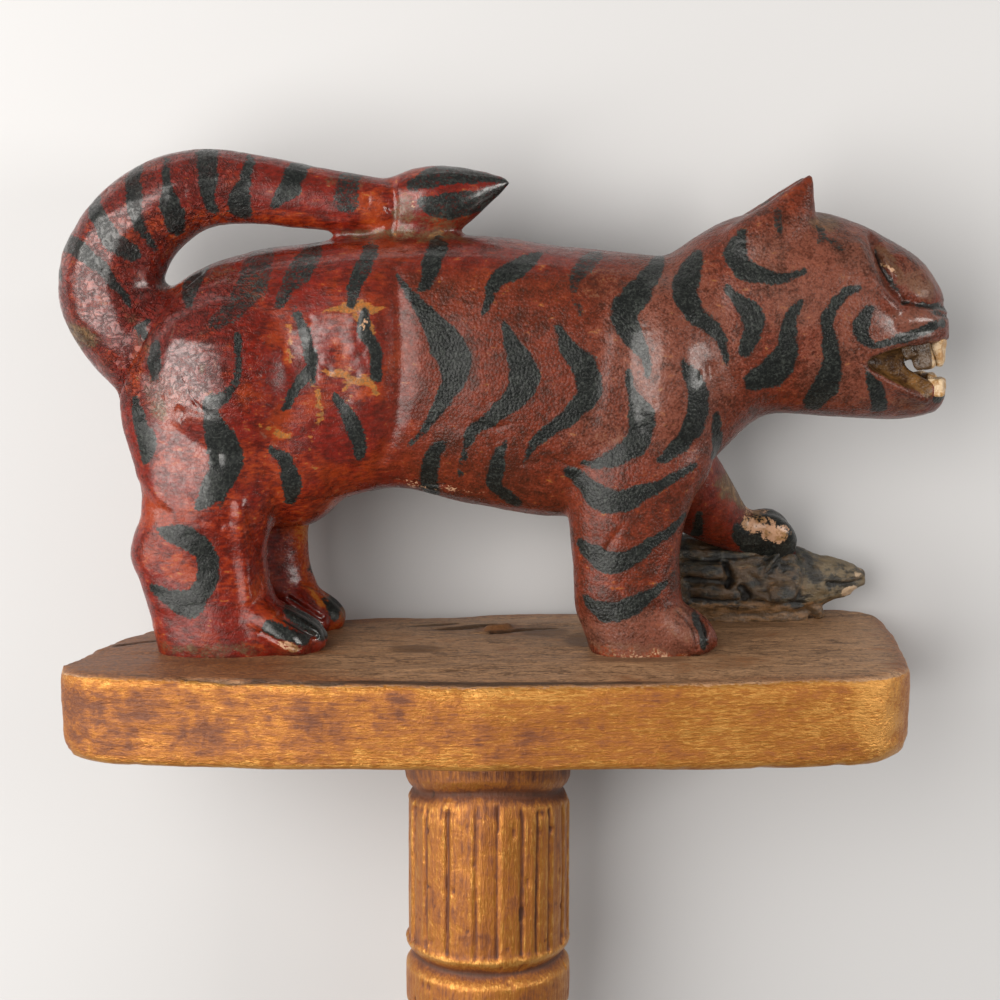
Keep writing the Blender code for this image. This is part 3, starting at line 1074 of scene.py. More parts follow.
BODY_STRIPES = strokes(
    (0.75, (-74.5, 101, 1.3), (-77.5, 97, 2.7), (-77.3, 92.6, 1.3)),
    (0.55, (-59.5, 104.5, 3.4), (-60.8, 98.6, 4.2), (-64, 92.4, 2.8), (-69.5, 87.6, 2)),
    (0.62, (-45.8, 105.4, 2.7), (-48.6, 100.5, 3.1), (-51.6, 95.8, 2.1), (-54.2, 91.6, 1.1)),
    (0.95, (-49.5, 91, 0.9), (-47, 85.5, 1.4), (-45.5, 79, 1.6), (-45, 72, 0.6)),
    (0.95, (-46, 76, 1.3), (-49, 70.5, 1.4), (-52.5, 65, 0.5)),
    (0.95, (-64, 85, 1), (-63.5, 78, 0.9), (-65.5, 71, 1), (-70, 67.5, 2)),
    (1, (-71, 67, 1.8), (-70, 62, 2.8), (-68, 55, 4.4), (-68, 50, 4.2), (-71, 45, 3.4), (-75.5, 39.5, 0.8)),
    (1, (-68.5, 47, 2), (-69, 40, 0.5)),
    (0.8, (-89.5, 87.5, 0.8), (-91.5, 85.5, 1.3), (-90, 83.5, 1)),
    (0.85, (-86, 81.5, 1.6), (-86, 77, 2), (-85.5, 73.5, 1.2)),
    (1, (-91.5, 68, 1), (-90, 62, 2), (-88, 56.5, 2.6), (-88.5, 52, 1.3)),
    (0.75, (-30.5, 106, 2.1), (-33.5, 98.5, 2.1), (-35, 93.5, 1.7)),
    (1, (-31.5, 91, 1), (-31.5, 86.5, 2), (-29, 81, 1.6), (-28.5, 75, 1.8), (-27.5, 73, 0.8)),
    (1, (-39, 68.5, 0.9), (-35.5, 62.5, 2.2), (-33.5, 56, 2.1), (-33.5, 52.5, 1.3)),
    (1, (-56, 55.5, 0.8), (-52.5, 52, 2), (-51, 46, 2.6), (-52, 41, 1.2)),
    (1, (-85, 33, 1.3), (-79, 32, 3), (-74.5, 29, 3), (-73, 23, 2.8), (-75.5, 17, 3), (-79.5, 14, 3.3),
     (-88, 18, 1.3)),
    (0.85, (-13, 107, 2.6), (-14.5, 102, 2.3), (-16, 97, 1.5)),
    (1, (-23.5, 99.5, 0.6), (-18, 92.5, 1.6), (-12.5, 85.5, 3.6), (-8.5, 79, 4.5), (-9, 72, 2.9),
     (-14.5, 63, 1.3), (-20, 55.5, 0.4)),
    (0.95, (13.5, 105, 0.8), (8, 101.5, 2.5), (2.5, 98, 1.8), (0, 91, 1), (1, 85, 0.4)),
    (1, (4, 88, 0.4), (6.5, 82, 2.3), (9.5, 75.5, 3.8), (8, 69.5, 3.6), (1.5, 63.5, 2.1), (-4, 58.5, 1.4),
     (-7, 47.5, 0.5)),
    (0.6, (30, 105, 1), (25.5, 102, 2.1), (22.5, 96, 1), (24, 89.5, 0.5)),
    (1, (18, 88, 0.6), (20.5, 82, 2.1), (25.5, 76, 3.4), (26, 69.5, 3.4), (21, 63.5, 2.3),
     (13.5, 57.5, 1.4), (10, 50.5, 0.4)),
    (1, (46, 104, 1.3), (40, 96.5, 3.1), (35.5, 90.5, 3.6), (37, 85, 2.8), (41, 78.5, 1.2),
     (42, 74.5, 0.5)),
    (0.95, (55, 105, 1.6), (51.5, 97, 3.4), (53.5, 91, 2.8), (60, 83.5, 1.3), (62, 77.5, 0.5)),
    (1, (36.5, 75.5, 0.8), (38, 69.5, 1.8), (40, 63.5, 3.4), (38, 56, 3), (30.5, 52, 1.6),
     (24.5, 50.5, 0.5)),
    (1, (50.5, 78, 1), (54, 72, 2.3), (54.5, 66, 2.9), (52.5, 59, 2.7), (47, 53.5, 1.6), (44.5, 52.5, 0.8)),
    (1, (-10.5, 58, 0.5), (-13, 54.5, 1.9), (-15.5, 48, 2.6), (-15, 42, 2.4)),
    (1, (5, 57, 0.5), (2.5, 51, 1.9), (2.5, 44.5, 2.3), (8.5, 39, 1.3)),
    (1, (21, 49, 1), (25.5, 46, 2.1), (30, 42, 3.1), (37, 42, 2.7), (43.5, 45, 1.7), (53.5, 50.5, 0.8)),
    (1, (25, 30, 1.3), (29.5, 26, 2.9), (36, 26, 2.7), (44.5, 31, 1.6), (52, 37, 0.8)),
    (1, (26, 15.5, 0.8), (30.5, 12, 2.6), (36.5, 12.8, 2.9), (44.5, 18, 1.2), (49, 21.5, 0.5)),
    (0.9, (59.5, 63.5, 1), (60.5, 55.5, 1.6), (60, 52, 1)),
    (0.9, (-57.5, 8, 1.8), (-54.5, 7, 2.1), (-48, 4, 1)),
    (0.85, (-53.5, 11.5, 1), (-48, 7.5, 1.8), (-44, 4, 1.4)),
    (0.8, (55, 9.5, 0.9), (57, 6.5, 1.2), (57.5, 3, 1)),
)
HEAD_STRIPES = strokes(
    (1, (66.5, 110.5, 1), (64.5, 105, 2.9), (68, 100.5, 2.5), (75.5, 99.5, 1.6), (82, 101, 0.5)),
    (1, (62.5, 96, 1), (66, 92.5, 1.9), (68.5, 88, 2.9), (66.5, 80.5, 1.6)),
    (1, (81.5, 94, 0.5), (78, 88.5, 2), (77.5, 81.5, 2.6), (75, 75.6, 4.3), (69, 72.6, 2.6)),
    (1, (96.5, 96.5, 0.8), (90.5, 94, 1.6), (87.5, 87, 1.9), (89.5, 78.5, 2.6), (88.5, 72, 3.3),
     (86, 67, 2.9)),
    (0.9, (99, 91, 1.3), (96.5, 86.5, 2.1), (99.5, 81.5, 1), (107, 83, 1.2), (115, 86, 1.3),
     (119.5, 87, 0.9)),
    (1, (99, 74.5, 0.8), (101.5, 70, 2), (103.5, 65.5, 2.1)),
    (0.6, (86.5, 112, 0.8), (86.5, 108.5, 1.3)),
    (0.55, (89.5, 108.5, 1), (92, 106.5, 0.9)),
    (0.9, (108, 92.6, 0.3), (114, 91.8, 0.6), (121, 90.6, 0.8)),
    (0.8, (116, 89.8, 0.3), (121, 88.6, 0.5)),
    (0.6, (75.5, 116, 1), (75.5, 110, 0.6)),
    (0.8, (119.5, 67, 1.3), (121, 68, 1)),
    (0.7, (101.4, 106, 0.3), (102.6, 102, 0.4), (104.6, 98.2, 0.5), (108, 95, 0.4)),
)
FAR_PAW_STRIPES = strokes(
    (0.9, (-50, 17.5, 0.7), (-45.5, 13.5, 1.3), (-42.5, 6, 1.5)),
    (0.8, (-46, 9, 0.6), (-43, 4, 1.1)),
    (0.9, (70, 29, 1.2), (71.6, 25.5, 2.4), (76, 21.6, 3), (83, 20, 2.6), (87.5, 22.5, 1.6)),
    (0.9, (76, 32.4, 0.8), (82, 30.5, 1.4), (86.5, 26.5, 2.2), (88, 23, 1.6)),
    (0.95, (74, 28, 4), (79, 26.6, 5.4), (85, 23.4, 4)),
    (1, (58.5, 33.5, 0.9), (58.8, 29.5, 1.4), (58.5, 26, 1.1)),
)
LARGE_GOUGES = strokes(
    (1.0, (-24, 101, 2.5), (-22.5, 88, 4.2), (-22.5, 74, 4.4), (-24.5, 60, 3.4), (-28, 51, 2.4)),
    (-0.6, (-31, 98, 6), (-31, 86, 8), (-31, 72, 8), (-34, 60, 6)),
    (0.45, (30, 97, 3.5), (29, 80, 4.5), (27, 62, 3.5)),
    (1.7, (-76, 100.5, 1.4), (-83.5, 94.5, 1.8), (-89.5, 85.5, 2), (-94, 77, 2), (-98, 69, 1.8)),
    (0.6, (62, 109, 3), (59.5, 97, 4.5), (61, 84, 4.5), (65, 72, 3.5)),
    (1.9, (100.6, 109.5, 1.6), (102.3, 105.2, 2.5), (104, 100.8, 3), (106, 97, 2.8), (109.2, 93.8, 2)),
    (-0.9, (109, 104.5, 3), (113, 100, 4.4), (116, 96.5, 3)),
    (-1.1, (108.5, 88, 3), (113, 88.2, 4), (116.5, 87.8, 3)),
    (1.7, (108.5, 93.4, 1.2), (114, 92.3, 1.5), (124, 91.2, 1.6)),
    (-1.0, (96, 107, 2.6), (98.4, 101, 3), (101.4, 95.6, 3), (106, 90.8, 2.2)),
    (-0.6, (101, 80, 1.3), (108, 82.6, 1.6), (120, 84.4, 1.6)),
    (-0.9, (100, 74.4, 1.1), (107, 70.6, 1.5), (116, 66.8, 1.5)),
    (0.5, (103, 69.4, 1.2), (109, 66.4, 1.4), (116, 63.6, 1.2)),
    (-1.3, (-64.5, 40, 2.6), (-64, 28, 3.4), (-63, 15, 2.6)),
    (0.7, (-92, 44, 3), (-88, 40, 4), (-84, 38, 3)),
    (1.1, (-25.5, 124, 1.4), (-24.5, 118, 1.9), (-25.5, 110, 1.5)),
)
FINE_GOUGES = strokes(
    (-0.9, (103.2, 104.6, 0.5), (104.6, 102, 1.4), (106, 99.4, 0.5)),
    (0.8, (101.6, 105.4, 0.6), (102.8, 101.8, 0.7), (104.6, 98.4, 0.6)),
    (0.8, (117, 89.8, 0.6), (124, 88.4, 0.9)),
) + strokes(
    (0.4, (-79, 74.5, 0.6), (-76, 69, 0.6), (-73, 65.5, 0.6)),
    (0.35, (35, 34.5, 0.9), (33, 32, 1), (31.4, 29.2, 1.2)),
    (0.5, (31.2, 29, 1.1), (31.4, 28.8, 1.1)),
    (0.12, (-45.6, 88, 0.7), (-44.4, 80, 0.7), (-44.2, 73, 0.6)),
    (0.12, (-33, 90, 0.7), (-33.5, 84, 0.8), (-31, 77, 0.7)),
    (0.9, (-26.5, 117.5, 0.9), (-26, 116.5, 1)),
    (1.3, (-55, 10.6, 0.7), (-50, 7.6, 0.9), (-45.5, 4.6, 0.8)),
    (0.9, (-60, 6.5, 0.6), (-54, 3.6, 0.8), (-49, 1.2, 0.7)),
    (0.9, (-52, 13.6, 0.6), (-46.5, 11, 0.8), (-41.8, 7, 0.7)),
    (1.1, (50.5, 12, 0.6), (54.2, 8.2, 0.8), (55.2, 2, 0.8)),
    (1.1, (53.4, 13, 0.6), (57.4, 8.6, 0.8), (58.6, 2, 0.8)),
    (0.5, (-3, 62, 0.5), (2, 60.5, 0.8), (6, 61.5, 0.5)),
    (0.6, (17, 52.5, 0.5), (20.5, 50.5, 0.8), (23, 50, 0.5)),
    side=Side.NEAR,
) + strokes(
    (0.9, (-19, 45, 0.5), (-15, 43.6, 0.8), (-11, 44.2, 0.5)),
)
ORANGE_PLACES = patches(
    (-51, 82, 1.8, 8, 0.85), (-54, 60, 5, 1.8, 0.8, -35), (-66, 82, 1.6, 2, 0.7), (-30, 70, 5, 3, 0.75, 20),
    (-38, 78, 3, 9, 0.6, 15), (-81, 24, 6, 6, 0.55), (-92, 75, 4, 11, 0.55), (-50, 36, 14, 12, 0.45),
    (-61, 2.5, 4, 1.4, 0.8), (-47, 8, 6, 1, 0.9, -40), (-20, 66, 3, 13, 0.3), (-31, 117, 6, 6, 0.7),
    (79, 118, 5, 9, 0.35), (40, 25, 22, 30, 0.3), (100, 84, 8, 10, 0.3), (44, 0.6, 14, 1.6, 0.85),
    (32, 0.8, 6, 1.8, 0.7), (-72, 30, 16, 22, 0.42), (-36, 24, 12, 22, 0.95), (-68, 52, 30, 8, 0.5),
    (-104, 100, 9, 20, 0.4), (-70, 112, 40, 8, 0.5),
)
TAN_PLACES = patches(
    (-37, 89, 7, 5, 0.36), (-37, 74, 8, 4, 0.36, -10), (-85.5, 66, 3.5, 4, 0.65), (-73.5, 76, 2, 2.6, 0.7),
    (-86, 71, 4, 8, 0.45), (88, 113, 6, 3.4, 0.7), (-61, 97, 5, 7, 0.45), (-22, 117, 3, 6, 0.6),
    (-12, 114, 10, 4, 0.5), (-109, 83.5, 9, 4.5, 0.75), (-91, 84, 3, 12, 0.45, 30), (-36, 124, 9, 3, 0.5),
    (28, 98, 10, 6, 0.35), (105, 102.5, 3, 9, 0.55, 36), (113, 97.5, 8, 4, 0.62, -40),
    (112, 66, 9, 3, 0.45), (-72, 100, 12, 4, 0.4), (-20, 110, 24, 2.4, 0.6), (38, 1.5, 18, 2.6, 0.5),
    (-74, 1.5, 20, 2.6, 0.55), (32, 58, 8, 5, 0.35), (70, 92, 20, 20, 0.22), (52, 8, 6, 6, 0.4),
    (-40, 8, 5, 9, 0.6), (69, 38.5, 4.4, 10, 0.75, 40),
)
# pale dust patches; the one on the muzzle at (112, 88) is a painted highlight
DUST_AND_HIGHLIGHT_PLACES = patches(
    (48, 80, 22, 32, 0.55), (84, 100, 24, 20, 0.6), (112, 88, 9, 4, 0.8), (113, 98, 8, 5, 0.7, -40),
    (100, 78, 24, 18, 0.5), (42, 6, 20, 9, 0.75), (30, 62, 14, 12, 0.4),
)
SHEENS = patches(
    (45, 74, 15, 24, 0.5), (46, 48, 10, 14, 0.3), (111, 87.5, 9, 4, 0.7), (104, 96, 12, 9, 0.3, -45),
    (68, 92, 14, 18, 0.15), (-76, 73, 13, 17, 0.5), (-76, 20, 26, 26, -0.7), (-94, 58, 9, 30, -0.9),
    (-65, 77, 9, 17, -0.75),
)
# paint flaked to its pale ground; the patch on the tail's bud at (-20.5, 118.5) is a painted highlight
PALE_FLAKES_AND_HIGHLIGHT_PLACES = patches(
    (103.9, 101.4, 0.8, 2.6, 0.62, 38), (-51.5, 3, 3, 1.5, 0.75), (74.5, 30, 5, 3.4, 0.72, -10),
    (81, 26.6, 5.6, 2.8, 0.85, -35), (-12, 43.5, 16, 1.2, 0.3, -8), (44, 0.2, 14, 1.6, 0.4),
    (-31, 88, 1.2, 2.5, 0.5), (-20.5, 118.5, 1.0, 1.8, 0.55),
)
SMEARS = strokes(
    (1, (-40, 91, 1.2), (-34, 92.5, 2.2), (-27.6, 91, 1.2)),
    (0.95, (-35, 90.3, 1.8), (-29, 86.5, 1.7), (-29.8, 79.7, 1.3), (-28, 74.5, 0.9)),
    (1, (-42.5, 74.5, 1.2), (-35.5, 74, 2.3), (-29, 71.7, 1.8), (-27.6, 66.3, 0.7)),
    (0.95, (-46, 72.7, 0.9), (-43.4, 67.7, 1.8), (-44.2, 60, 0.8)),
    (0.8, (-36.5, 71.4, 1.2), (-34.6, 62.5, 0.6)),
    (0.95, (-58.5, 61.7, 0.6), (-53.6, 59.7, 1.4), (-50, 57, 0.7)),
    (0.95, (-51.2, 90, 0.6), (-50.6, 84, 1.2), (-50.2, 77, 0.6)),
    (0.6, (-45, 62, 0.5), (-45.6, 55, 0.8), (-46, 49, 0.4)),
)
SCUFFS = strokes(
    (0.8, (-77, 89, 0.3), (-71, 82, 0.4), (-69.5, 74, 0.5), (-76, 70, 0.4)),
    (0.8, (-86.5, 82, 0.3), (-84, 75, 0.5), (-78, 70, 0.4), (-72, 70.5, 0.3)),
    (0.7, (-80.5, 88, 0.3), (-82, 79, 0.4), (-81.5, 73, 0.3)),
    (0.7, (-59, 60, 0.4), (-55, 56, 0.7), (-49, 52, 0.3)),
    (0.6, (-42, 72, 0.3), (-41.5, 66, 0.5), (-43, 60, 0.3)),
    (0.5, (-39, 74, 0.3), (-38.5, 67, 0.4), (-39.5, 62, 0.3)),
)


@dataclass(frozen=True)
class Cat:
    """The striped cat, carved in one piece with its tail laid along its back.

    Stations are in mm: along x for the trunk and tail, up z for the legs.
    """

    rough_voxel: float = 1.1
    rough_easing: int = 7
    voxel: float = 0.6
    easing: int = 2
    budget: int = 188_000
    trunk: tuple[Station, ...] = (  # place, back, underside, half width
        (-99, 77, 66, 6), (-96, 83, 58, 12), (-91, 90, 50, 17), (-84, 96.5, 44, 21),
        (-76, 101.5, 41, 23.5), (-62, 105.8, 32, 24), (-50, 107.4, 31.5, 24), (-44.5, 108.2, 34, 23.8),
        (-39, 108.7, 38.8, 23.6), (-31, 109.4, 41, 23), (-22, 109.9, 41.6, 22.5), (0, 109.8, 36.5, 23.8),
        (20, 107.2, 34, 24.5), (44, 104.6, 36, 25), (50, 105.6, 39, 24.8), (56, 109.6, 44, 24),
        (64, 114, 53, 23), (74, 116, 61.5, 23), (88, 116.2, 61.5, 23), (99, 113, 60.8, 21.5),
        (108, 108.2, 60.6, 19), (115, 104.2, 61, 17), (119.2, 99.2, 61.8, 14.5), (121.9, 94, 63.6, 11.8),
        (122.3, 90, 66.5, 8.6),
    )
    tail: tuple[Station, ...] = (  # place, height, radius
        (-86, 72, 12), (-94, 82, 14), (-101, 96, 14.3), (-96, 109.4, 13.2), (-85.5, 118.6, 11.9),
        (-74, 122.4, 10.3), (-60, 121.8, 9.1), (-48, 120, 8.5), (-38, 118.5, 8.1), (-31, 117.8, 7.6),
        (-26, 117.8, 7.2), (-18.5, 118.6, 9.2), (-10.5, 119.6, 9), (-2, 122, 5.6), (6.6, 124.2, 0.9),
    )
    tail_flattening: float = 0.85
    tip_rest: tuple[Station, ...] = ((-30.5, 109, 4), (-20, 110, 6), (-11, 110, 4.4))
    hind_leg: tuple[Station, ...] = (  # height, rear, front, half width
        (76, -95.4, -50, 10), (66, -97, -50, 12), (59, -96.2, -50, 12), (48, -93, -53, 12),
        (38, -92, -56, 11.5), (30, -94.5, -58, 10.5), (25, -95.2, -58.5, 10), (18, -92.8, -58, 10),
        (9, -90.3, -55, 10), (-3, -88, -54, 10),
    )
    fore_leg: tuple[Station, ...] = (
        (66, 24, 62, 10), (49, 21.5, 59.5, 12.5), (41, 21.5, 55, 12), (32, 22, 52, 11.5),
        (22, 23, 51.3, 11), (12, 23.4, 52.5, 10.5), (4, 26, 54, 10), (-3, 28, 54, 10),
    )
    foot: tuple[Station, ...] = (  # reach, top, half width
        (6, 12, 8), (16, 18.5, 9.2), (26, 13, 9.4), (33, 9, 9), (38, 5, 8), (42, 1, 5),
    )
    reaching_leg: tuple[Station, ...] = (
        (40, 12, 57, 13), (52, 17, 44.5, 12.6), (61, 21.5, 34.3, 10.4), (68, 24, 28.4, 7.4),
        (74, 25.5, 25.4, 6.2), (79.6, 26.5, 25.4, 7), (84, 28, 23.4, 5),
    )
    haunch: tuple[Point, Point] = ((-68, -6.5, 71), (26, 20.5, 27))  # middle, half lengths
    shoulder: tuple[Point, Point] = ((47, -7, 73), (17, 19, 28))
    far_bulk_shift: float = 3.0  # how much nearer the head the far haunch and shoulder are
    bud: tuple[Point, Point] = ((-24.6, MIDDLE, 117.6), (3.6, 6.4, 6.6))  # where the tail's tip swells
    tongue: tuple[Point, Point] = ((108, MIDDLE, 70.2), (10, 10.5, 3.6))
    tongue_tilt: float = -12.0
    ear: tuple[Station, ...] = (  # height, rear, front, half width
        (101, 58, 88.5, 9), (106, 59, 87.4, 8.8), (110.4, 61.2, 86.6, 7.6), (114, 65.6, 86.2, 6.2),
        (117.6, 71.4, 85.9, 4.6), (121, 76.6, 85.6, 3.2), (124, 81, 85.4, 2.1), (126, 83.6, 85, 0.8),
    )
    ears: tuple[tuple[float, float], ...] = ((-9, 0), (13, 2))  # y, shift
    jaws: tuple[tuple[float, float], ...] = (
        (109, 76.4), (112.5, 79.6), (118, 81.8), (130, 82.6), (130, 68.2), (119.4, 70.4), (113.4, 73.6),
    )
    cheek_cut: tuple[tuple[float, float], ...] = (
        (97.5, 77.3), (104, 80), (113, 81.3), (121, 82.2), (121, 67.4), (113, 69.4), (104, 73.6),
    )
    near_cut: float = -32.0  # y of the planes that the cuts run between
    far_cut: float = 36.0
    near_cheek: float = -10.2
    far_cheek: float = 15.2
    legs: tuple[tuple[tuple[Station, ...], float, float, float], ...] = (  # stations, y, shift, foot's length
        (hind_leg, -11, 0, 0.98), (hind_leg, 16, 8, 0.86), (fore_leg, -11, 0, 0.72),
    )
    toes: tuple[tuple[float, float], ...] = ((-7.4, 40.5), (-2.6, 45), (2.6, 45), (7.4, 41))  # offset, reach
    claws: tuple[tuple[float, float], ...] = ((3, 21), (0, 22.4), (-3, 24))  # offset up, y, on the prey

    def _cut(self, form: Piece, outline: Sequence[tuple[float, float]], near: float,
             far: float) -> None:
        """Cuts an outline drawn from the side out of a form, between two planes.

        Args:
            form: The form that is worked on.
            outline: The outline's points, each a place along x and a height.
            near: The y of the nearer plane.
            far: The y of the other plane.
        """
        knife = Clay()
        knife.skin([[Vector((x, y, z)) for x, z in outline] for y in (near, far)])
        wedge = knife.done("mouth_wedge")
        refine(form, "BOOLEAN", object=wedge, operation="DIFFERENCE")
        bpy.data.objects.remove(wedge)

    def _jawed_trunk(self) -> Piece:
        """Trunk and head with the jaws cut open from side to side and the cheeks cut in behind them.

        Returns:
            The form.
        """
        clay = Clay()
        clay.lengthwise(self.trunk, MIDDLE)
        form = clay.done("trunk_form")
        self._cut(form, self.jaws, self.near_cut, self.far_cut)
        self._cut(form, self.cheek_cut, self.near_cut, self.near_cheek)
        self._cut(form, self.cheek_cut, self.far_cheek, self.far_cut)
        return form

    def _paw(self, clay: Clay, rear: float, middle: float, length: float) -> None:
        """A long low foot with four bulging toes, from the rear of its leg.

        Args:
            clay: The heap that it goes on.
            rear: The x of its leg's rear.
            middle: The y of its middle plane.
            length: Its length as a share of the longest foot's.
        """
        rings = []
        for reach, top, half in blended(self.foot, 4):
            high = (top + 3) / 2
            rings.append(oval((rear + reach * length, middle, top - high), Vector((0, half, 0)),
                              Vector((0, 0, high)), 28, BOXY))
        clay.skin(rings)
        for offset, reach in self.toes:
            clay.limb((
                (rear + 17 * length, middle + offset * 0.55, 12.5, 3.6),
                (rear + 28 * length, middle + offset * 0.85, 9.8, 4.0),
                (rear + (reach - 7) * length, middle + offset, 5.8, 4.1),
                (rear + (reach - 2) * length, middle + offset * 1.03, 2.4, 3.4),
                (rear + reach * length, middle + offset * 1.03, 0.2, 1.6),
            ))

    def _rough_out(self) -> Piece:
        """All the forms melted into one.

        Returns:
            The form, before it is gouged.
        """
        clay = Clay()
        clay.add(self._jawed_trunk())
        clay.limb([(x, MIDDLE, z, r) for x, z, r in self.tail], self.tail_flattening)
        clay.limb([(x, MIDDLE, z, r) for x, z, r in self.tip_rest])
        clay.lump(*self.bud)
        for stations, middle, shift, length in self.legs:
            clay.upright(stations, middle, shift)
            self._paw(clay, stations[-1][1] + shift, middle, length)
        clay.limb(self.reaching_leg)
        for up, y in self.claws:
            clay.limb(((74, y + 1, 25.5 + up, 2.6), (79.6, y, 25 + up, 3.6), (84.4, y + 1, 22.4 + up, 3.2),
                       (87, y + 3, 19.4 + up, 1.8)))
        for centre, radii in (self.haunch, self.shoulder):
            clay.lump(centre, radii)
            clay.lump((centre[0] + self.far_bulk_shift, 2 * MIDDLE - centre[1], centre[2]), radii)
        for middle, shift in self.ears:
            clay.upright(self.ear, middle, shift, ROUND)
        clay.lump(*self.tongue, self.tongue_tilt)
        form = clay.done("cat")
        melt(form, self.rough_voxel)
        ease(form, self.rough_easing)
        return form

    def _tooled(self, form: Piece) -> None:
        """The knife's shallow facets, the grain under the paint and its small flaws.

        Args:
            form: The form that is worked on.
        """
        points = points_of(form)
        facets = layered_noise(points, (9, 1, 0.24), ((7, 3.2, 3.2), 2, 0.12))
        grain = layered_noise(points, ((5, 1.1, 1.1), 3, 0.05), (1.5, 4, 0.045))
        pits = soft_step(lattice_noise(points, 2.4, 5) * lattice_noise(points, 11, 6), 0.34, 0.6) * -0.25
        push(form, facets + grain + pits)

    def _wandering(self, form: Piece, reach: float) -> tuple[np.ndarray, np.ndarray]:
        """Each vertex's place seen from the side, moved a little so that painted edges turn ragged.

        Args:
            form: The form that is worked on.
            reach: How far an edge may stray, in mm.

        Returns:
            The moved places along x and the moved heights.
        """
        points = points_of(form)
        along, up = (reach * layered_noise(points, (5, seed, 1), (1.9, seed + 1, 0.7)) for seed in (11, 13))
        return points[:, 0] + along, points[:, 2] + up

    def _stripes(self, form: Piece) -> tuple[np.ndarray, np.ndarray]:
        """How far inside a stripe each vertex is, in mm, and how well that stripe covers.

        Args:
            form: The form that is worked on.

        Returns:
            The depths inside and the covers.
        """
        y, facing = points_of(form)[:, 1], normals_of(form)[:, 1]
        x, z = self._wandering(form, 0.55)
        sides = []
        for px, pz in ((x, z), (x * 1.02 + 4 * np.sin(z / 14) - 5, z + 2.5 * np.sin(x / 17))):
            inside, cover = np.full(len(x), -Stroke.margin), np.ones(len(x))
            for stroke in (*TAIL_STRIPES, *BODY_STRIPES, *HEAD_STRIPES):
                found = stroke.inside(px, pz)
                cover = np.where(found > inside, stroke.strength, cover)
                inside = np.maximum(inside, found)
            sides.append(np.stack([inside, cover]))
        share = soft_step(y - MIDDLE, -5, 5)
        inside, cover = sides[0] * (1 - share) + sides[1] * share
        inward = soft_step(y, 2, 7) * soft_step(-facing, -0.3, 0.3) * soft_step(50 - z, 0, 8)
        arm = soft_step(x, 44, 54) * soft_step(y, 5, 9) * soft_step(58 - z, 0, 6)
        inside = inside - 8 * np.maximum(inward, arm)
        for stroke in FAR_PAW_STRIPES:
            inside = np.maximum(inside, stroke.inside(x, z) - 9 * soft_step(5 - y, 0, 4))
        return inside, cover

    def _notes(self, form: Piece) -> None:
        """What the paint needs to know at each vertex.

        Args:
            form: The form that is worked on.
        """
        normals = normals_of(form)
        x, y, z = points_of(form).T
        inside, cover = self._stripes(form)
        near = soft_step(-y, 0, 4)
        rear = 1 - soft_step(x, -36, -12)
        tail = soft_step(z, 108, 112) * (1 - soft_step(x, 6, 12))
        back = 0.7 * soft_step(z, 97, 104) * (1 - soft_step(x, 20, 45))
        arm = 0.6 * soft_step(x, 50, 58) * soft_step(y, 5, 9) * soft_step(56 - z, 0, 6)
        far_leg = soft_step(y, 7, 11) * soft_step(46 - z, 0, 6) * soft_step(-10 - x, 0, 5)
        jaws = soft_step(x, 97, 99) * soft_step(z, 66.5, 68.5) * (1 - soft_step(z, 80.5, 82.5))
        deep = (1 - soft_step(np.abs(y - MIDDLE), 13.2, 14.2)) * (1 - soft_step(x, 116.5, 118.5))
        inner = jaws * np.maximum(deep, 1 - soft_step(np.abs(normals[:, 1]), 0.35, 0.7))
        wide, middling = self._wandering(form, 1.5), self._wandering(form, 1.0)
        note(
            form,
            stripe=inside,
            cover=cover,
            varnish=np.maximum.reduce([rear, tail, back, arm]),
            sheen=patched(SHEENS, x, z) * soft_step(-y, -4, 4) - far_leg - 0.3 * arm,
            crazed=np.maximum(tail, rear * soft_step(z, 60, 72)) * soft_step(-x, 55, 75),
            # the hollows, and painted shade on the faces that look down
            hollow=hollowness(form, 9) + 0.12 * soft_step(-normals[:, 2], 0.5, 1),
            orange=patched(ORANGE_PLACES, *wide) + 0.75 * far_leg,
            smear=traced(SMEARS, *middling) * near,
            scuff=traced(SCUFFS, x, z) * near,
            tan=patched(TAN_PLACES, *wide) * (1 - inner),
            # pale dust, and a painted highlight on the muzzle
            dust=patched(DUST_AND_HIGHLIGHT_PLACES, *wide) * (1 - inner),
            mouth=inner,
            # flaked paint, and a painted highlight on the tail's bud
            pale=patched(PALE_FLAKES_AND_HIGHLIGHT_PLACES, *wide),
        )

    def build(self, staff: StaffFrame) -> None:
        """Carves, paints and hands over the cat.

        Args:
            staff: The staff's place, which takes the finished pieces.
        """
        form = self._rough_out()
        carve(form, LARGE_GOUGES)
        melt(form, self.voxel)
        ease(form, self.easing)
        carve(form, FINE_GOUGES)
        self._tooled(form)
        refine(form, "DECIMATE", ratio=self.budget / triangles_in(form))
        self._notes(form)
        staff.hand_over(form, LacquerPaint().dress(), "finial")


@dataclass(frozen=True)
class Tooth:
    """One worn block: its place, its lower and upper ends, its sizes, its turn round z and its lean."""

    x: float
    y: float
    low: float
    high: float
    along: float
    across: float
    turn: float
    lean: float = 0.0


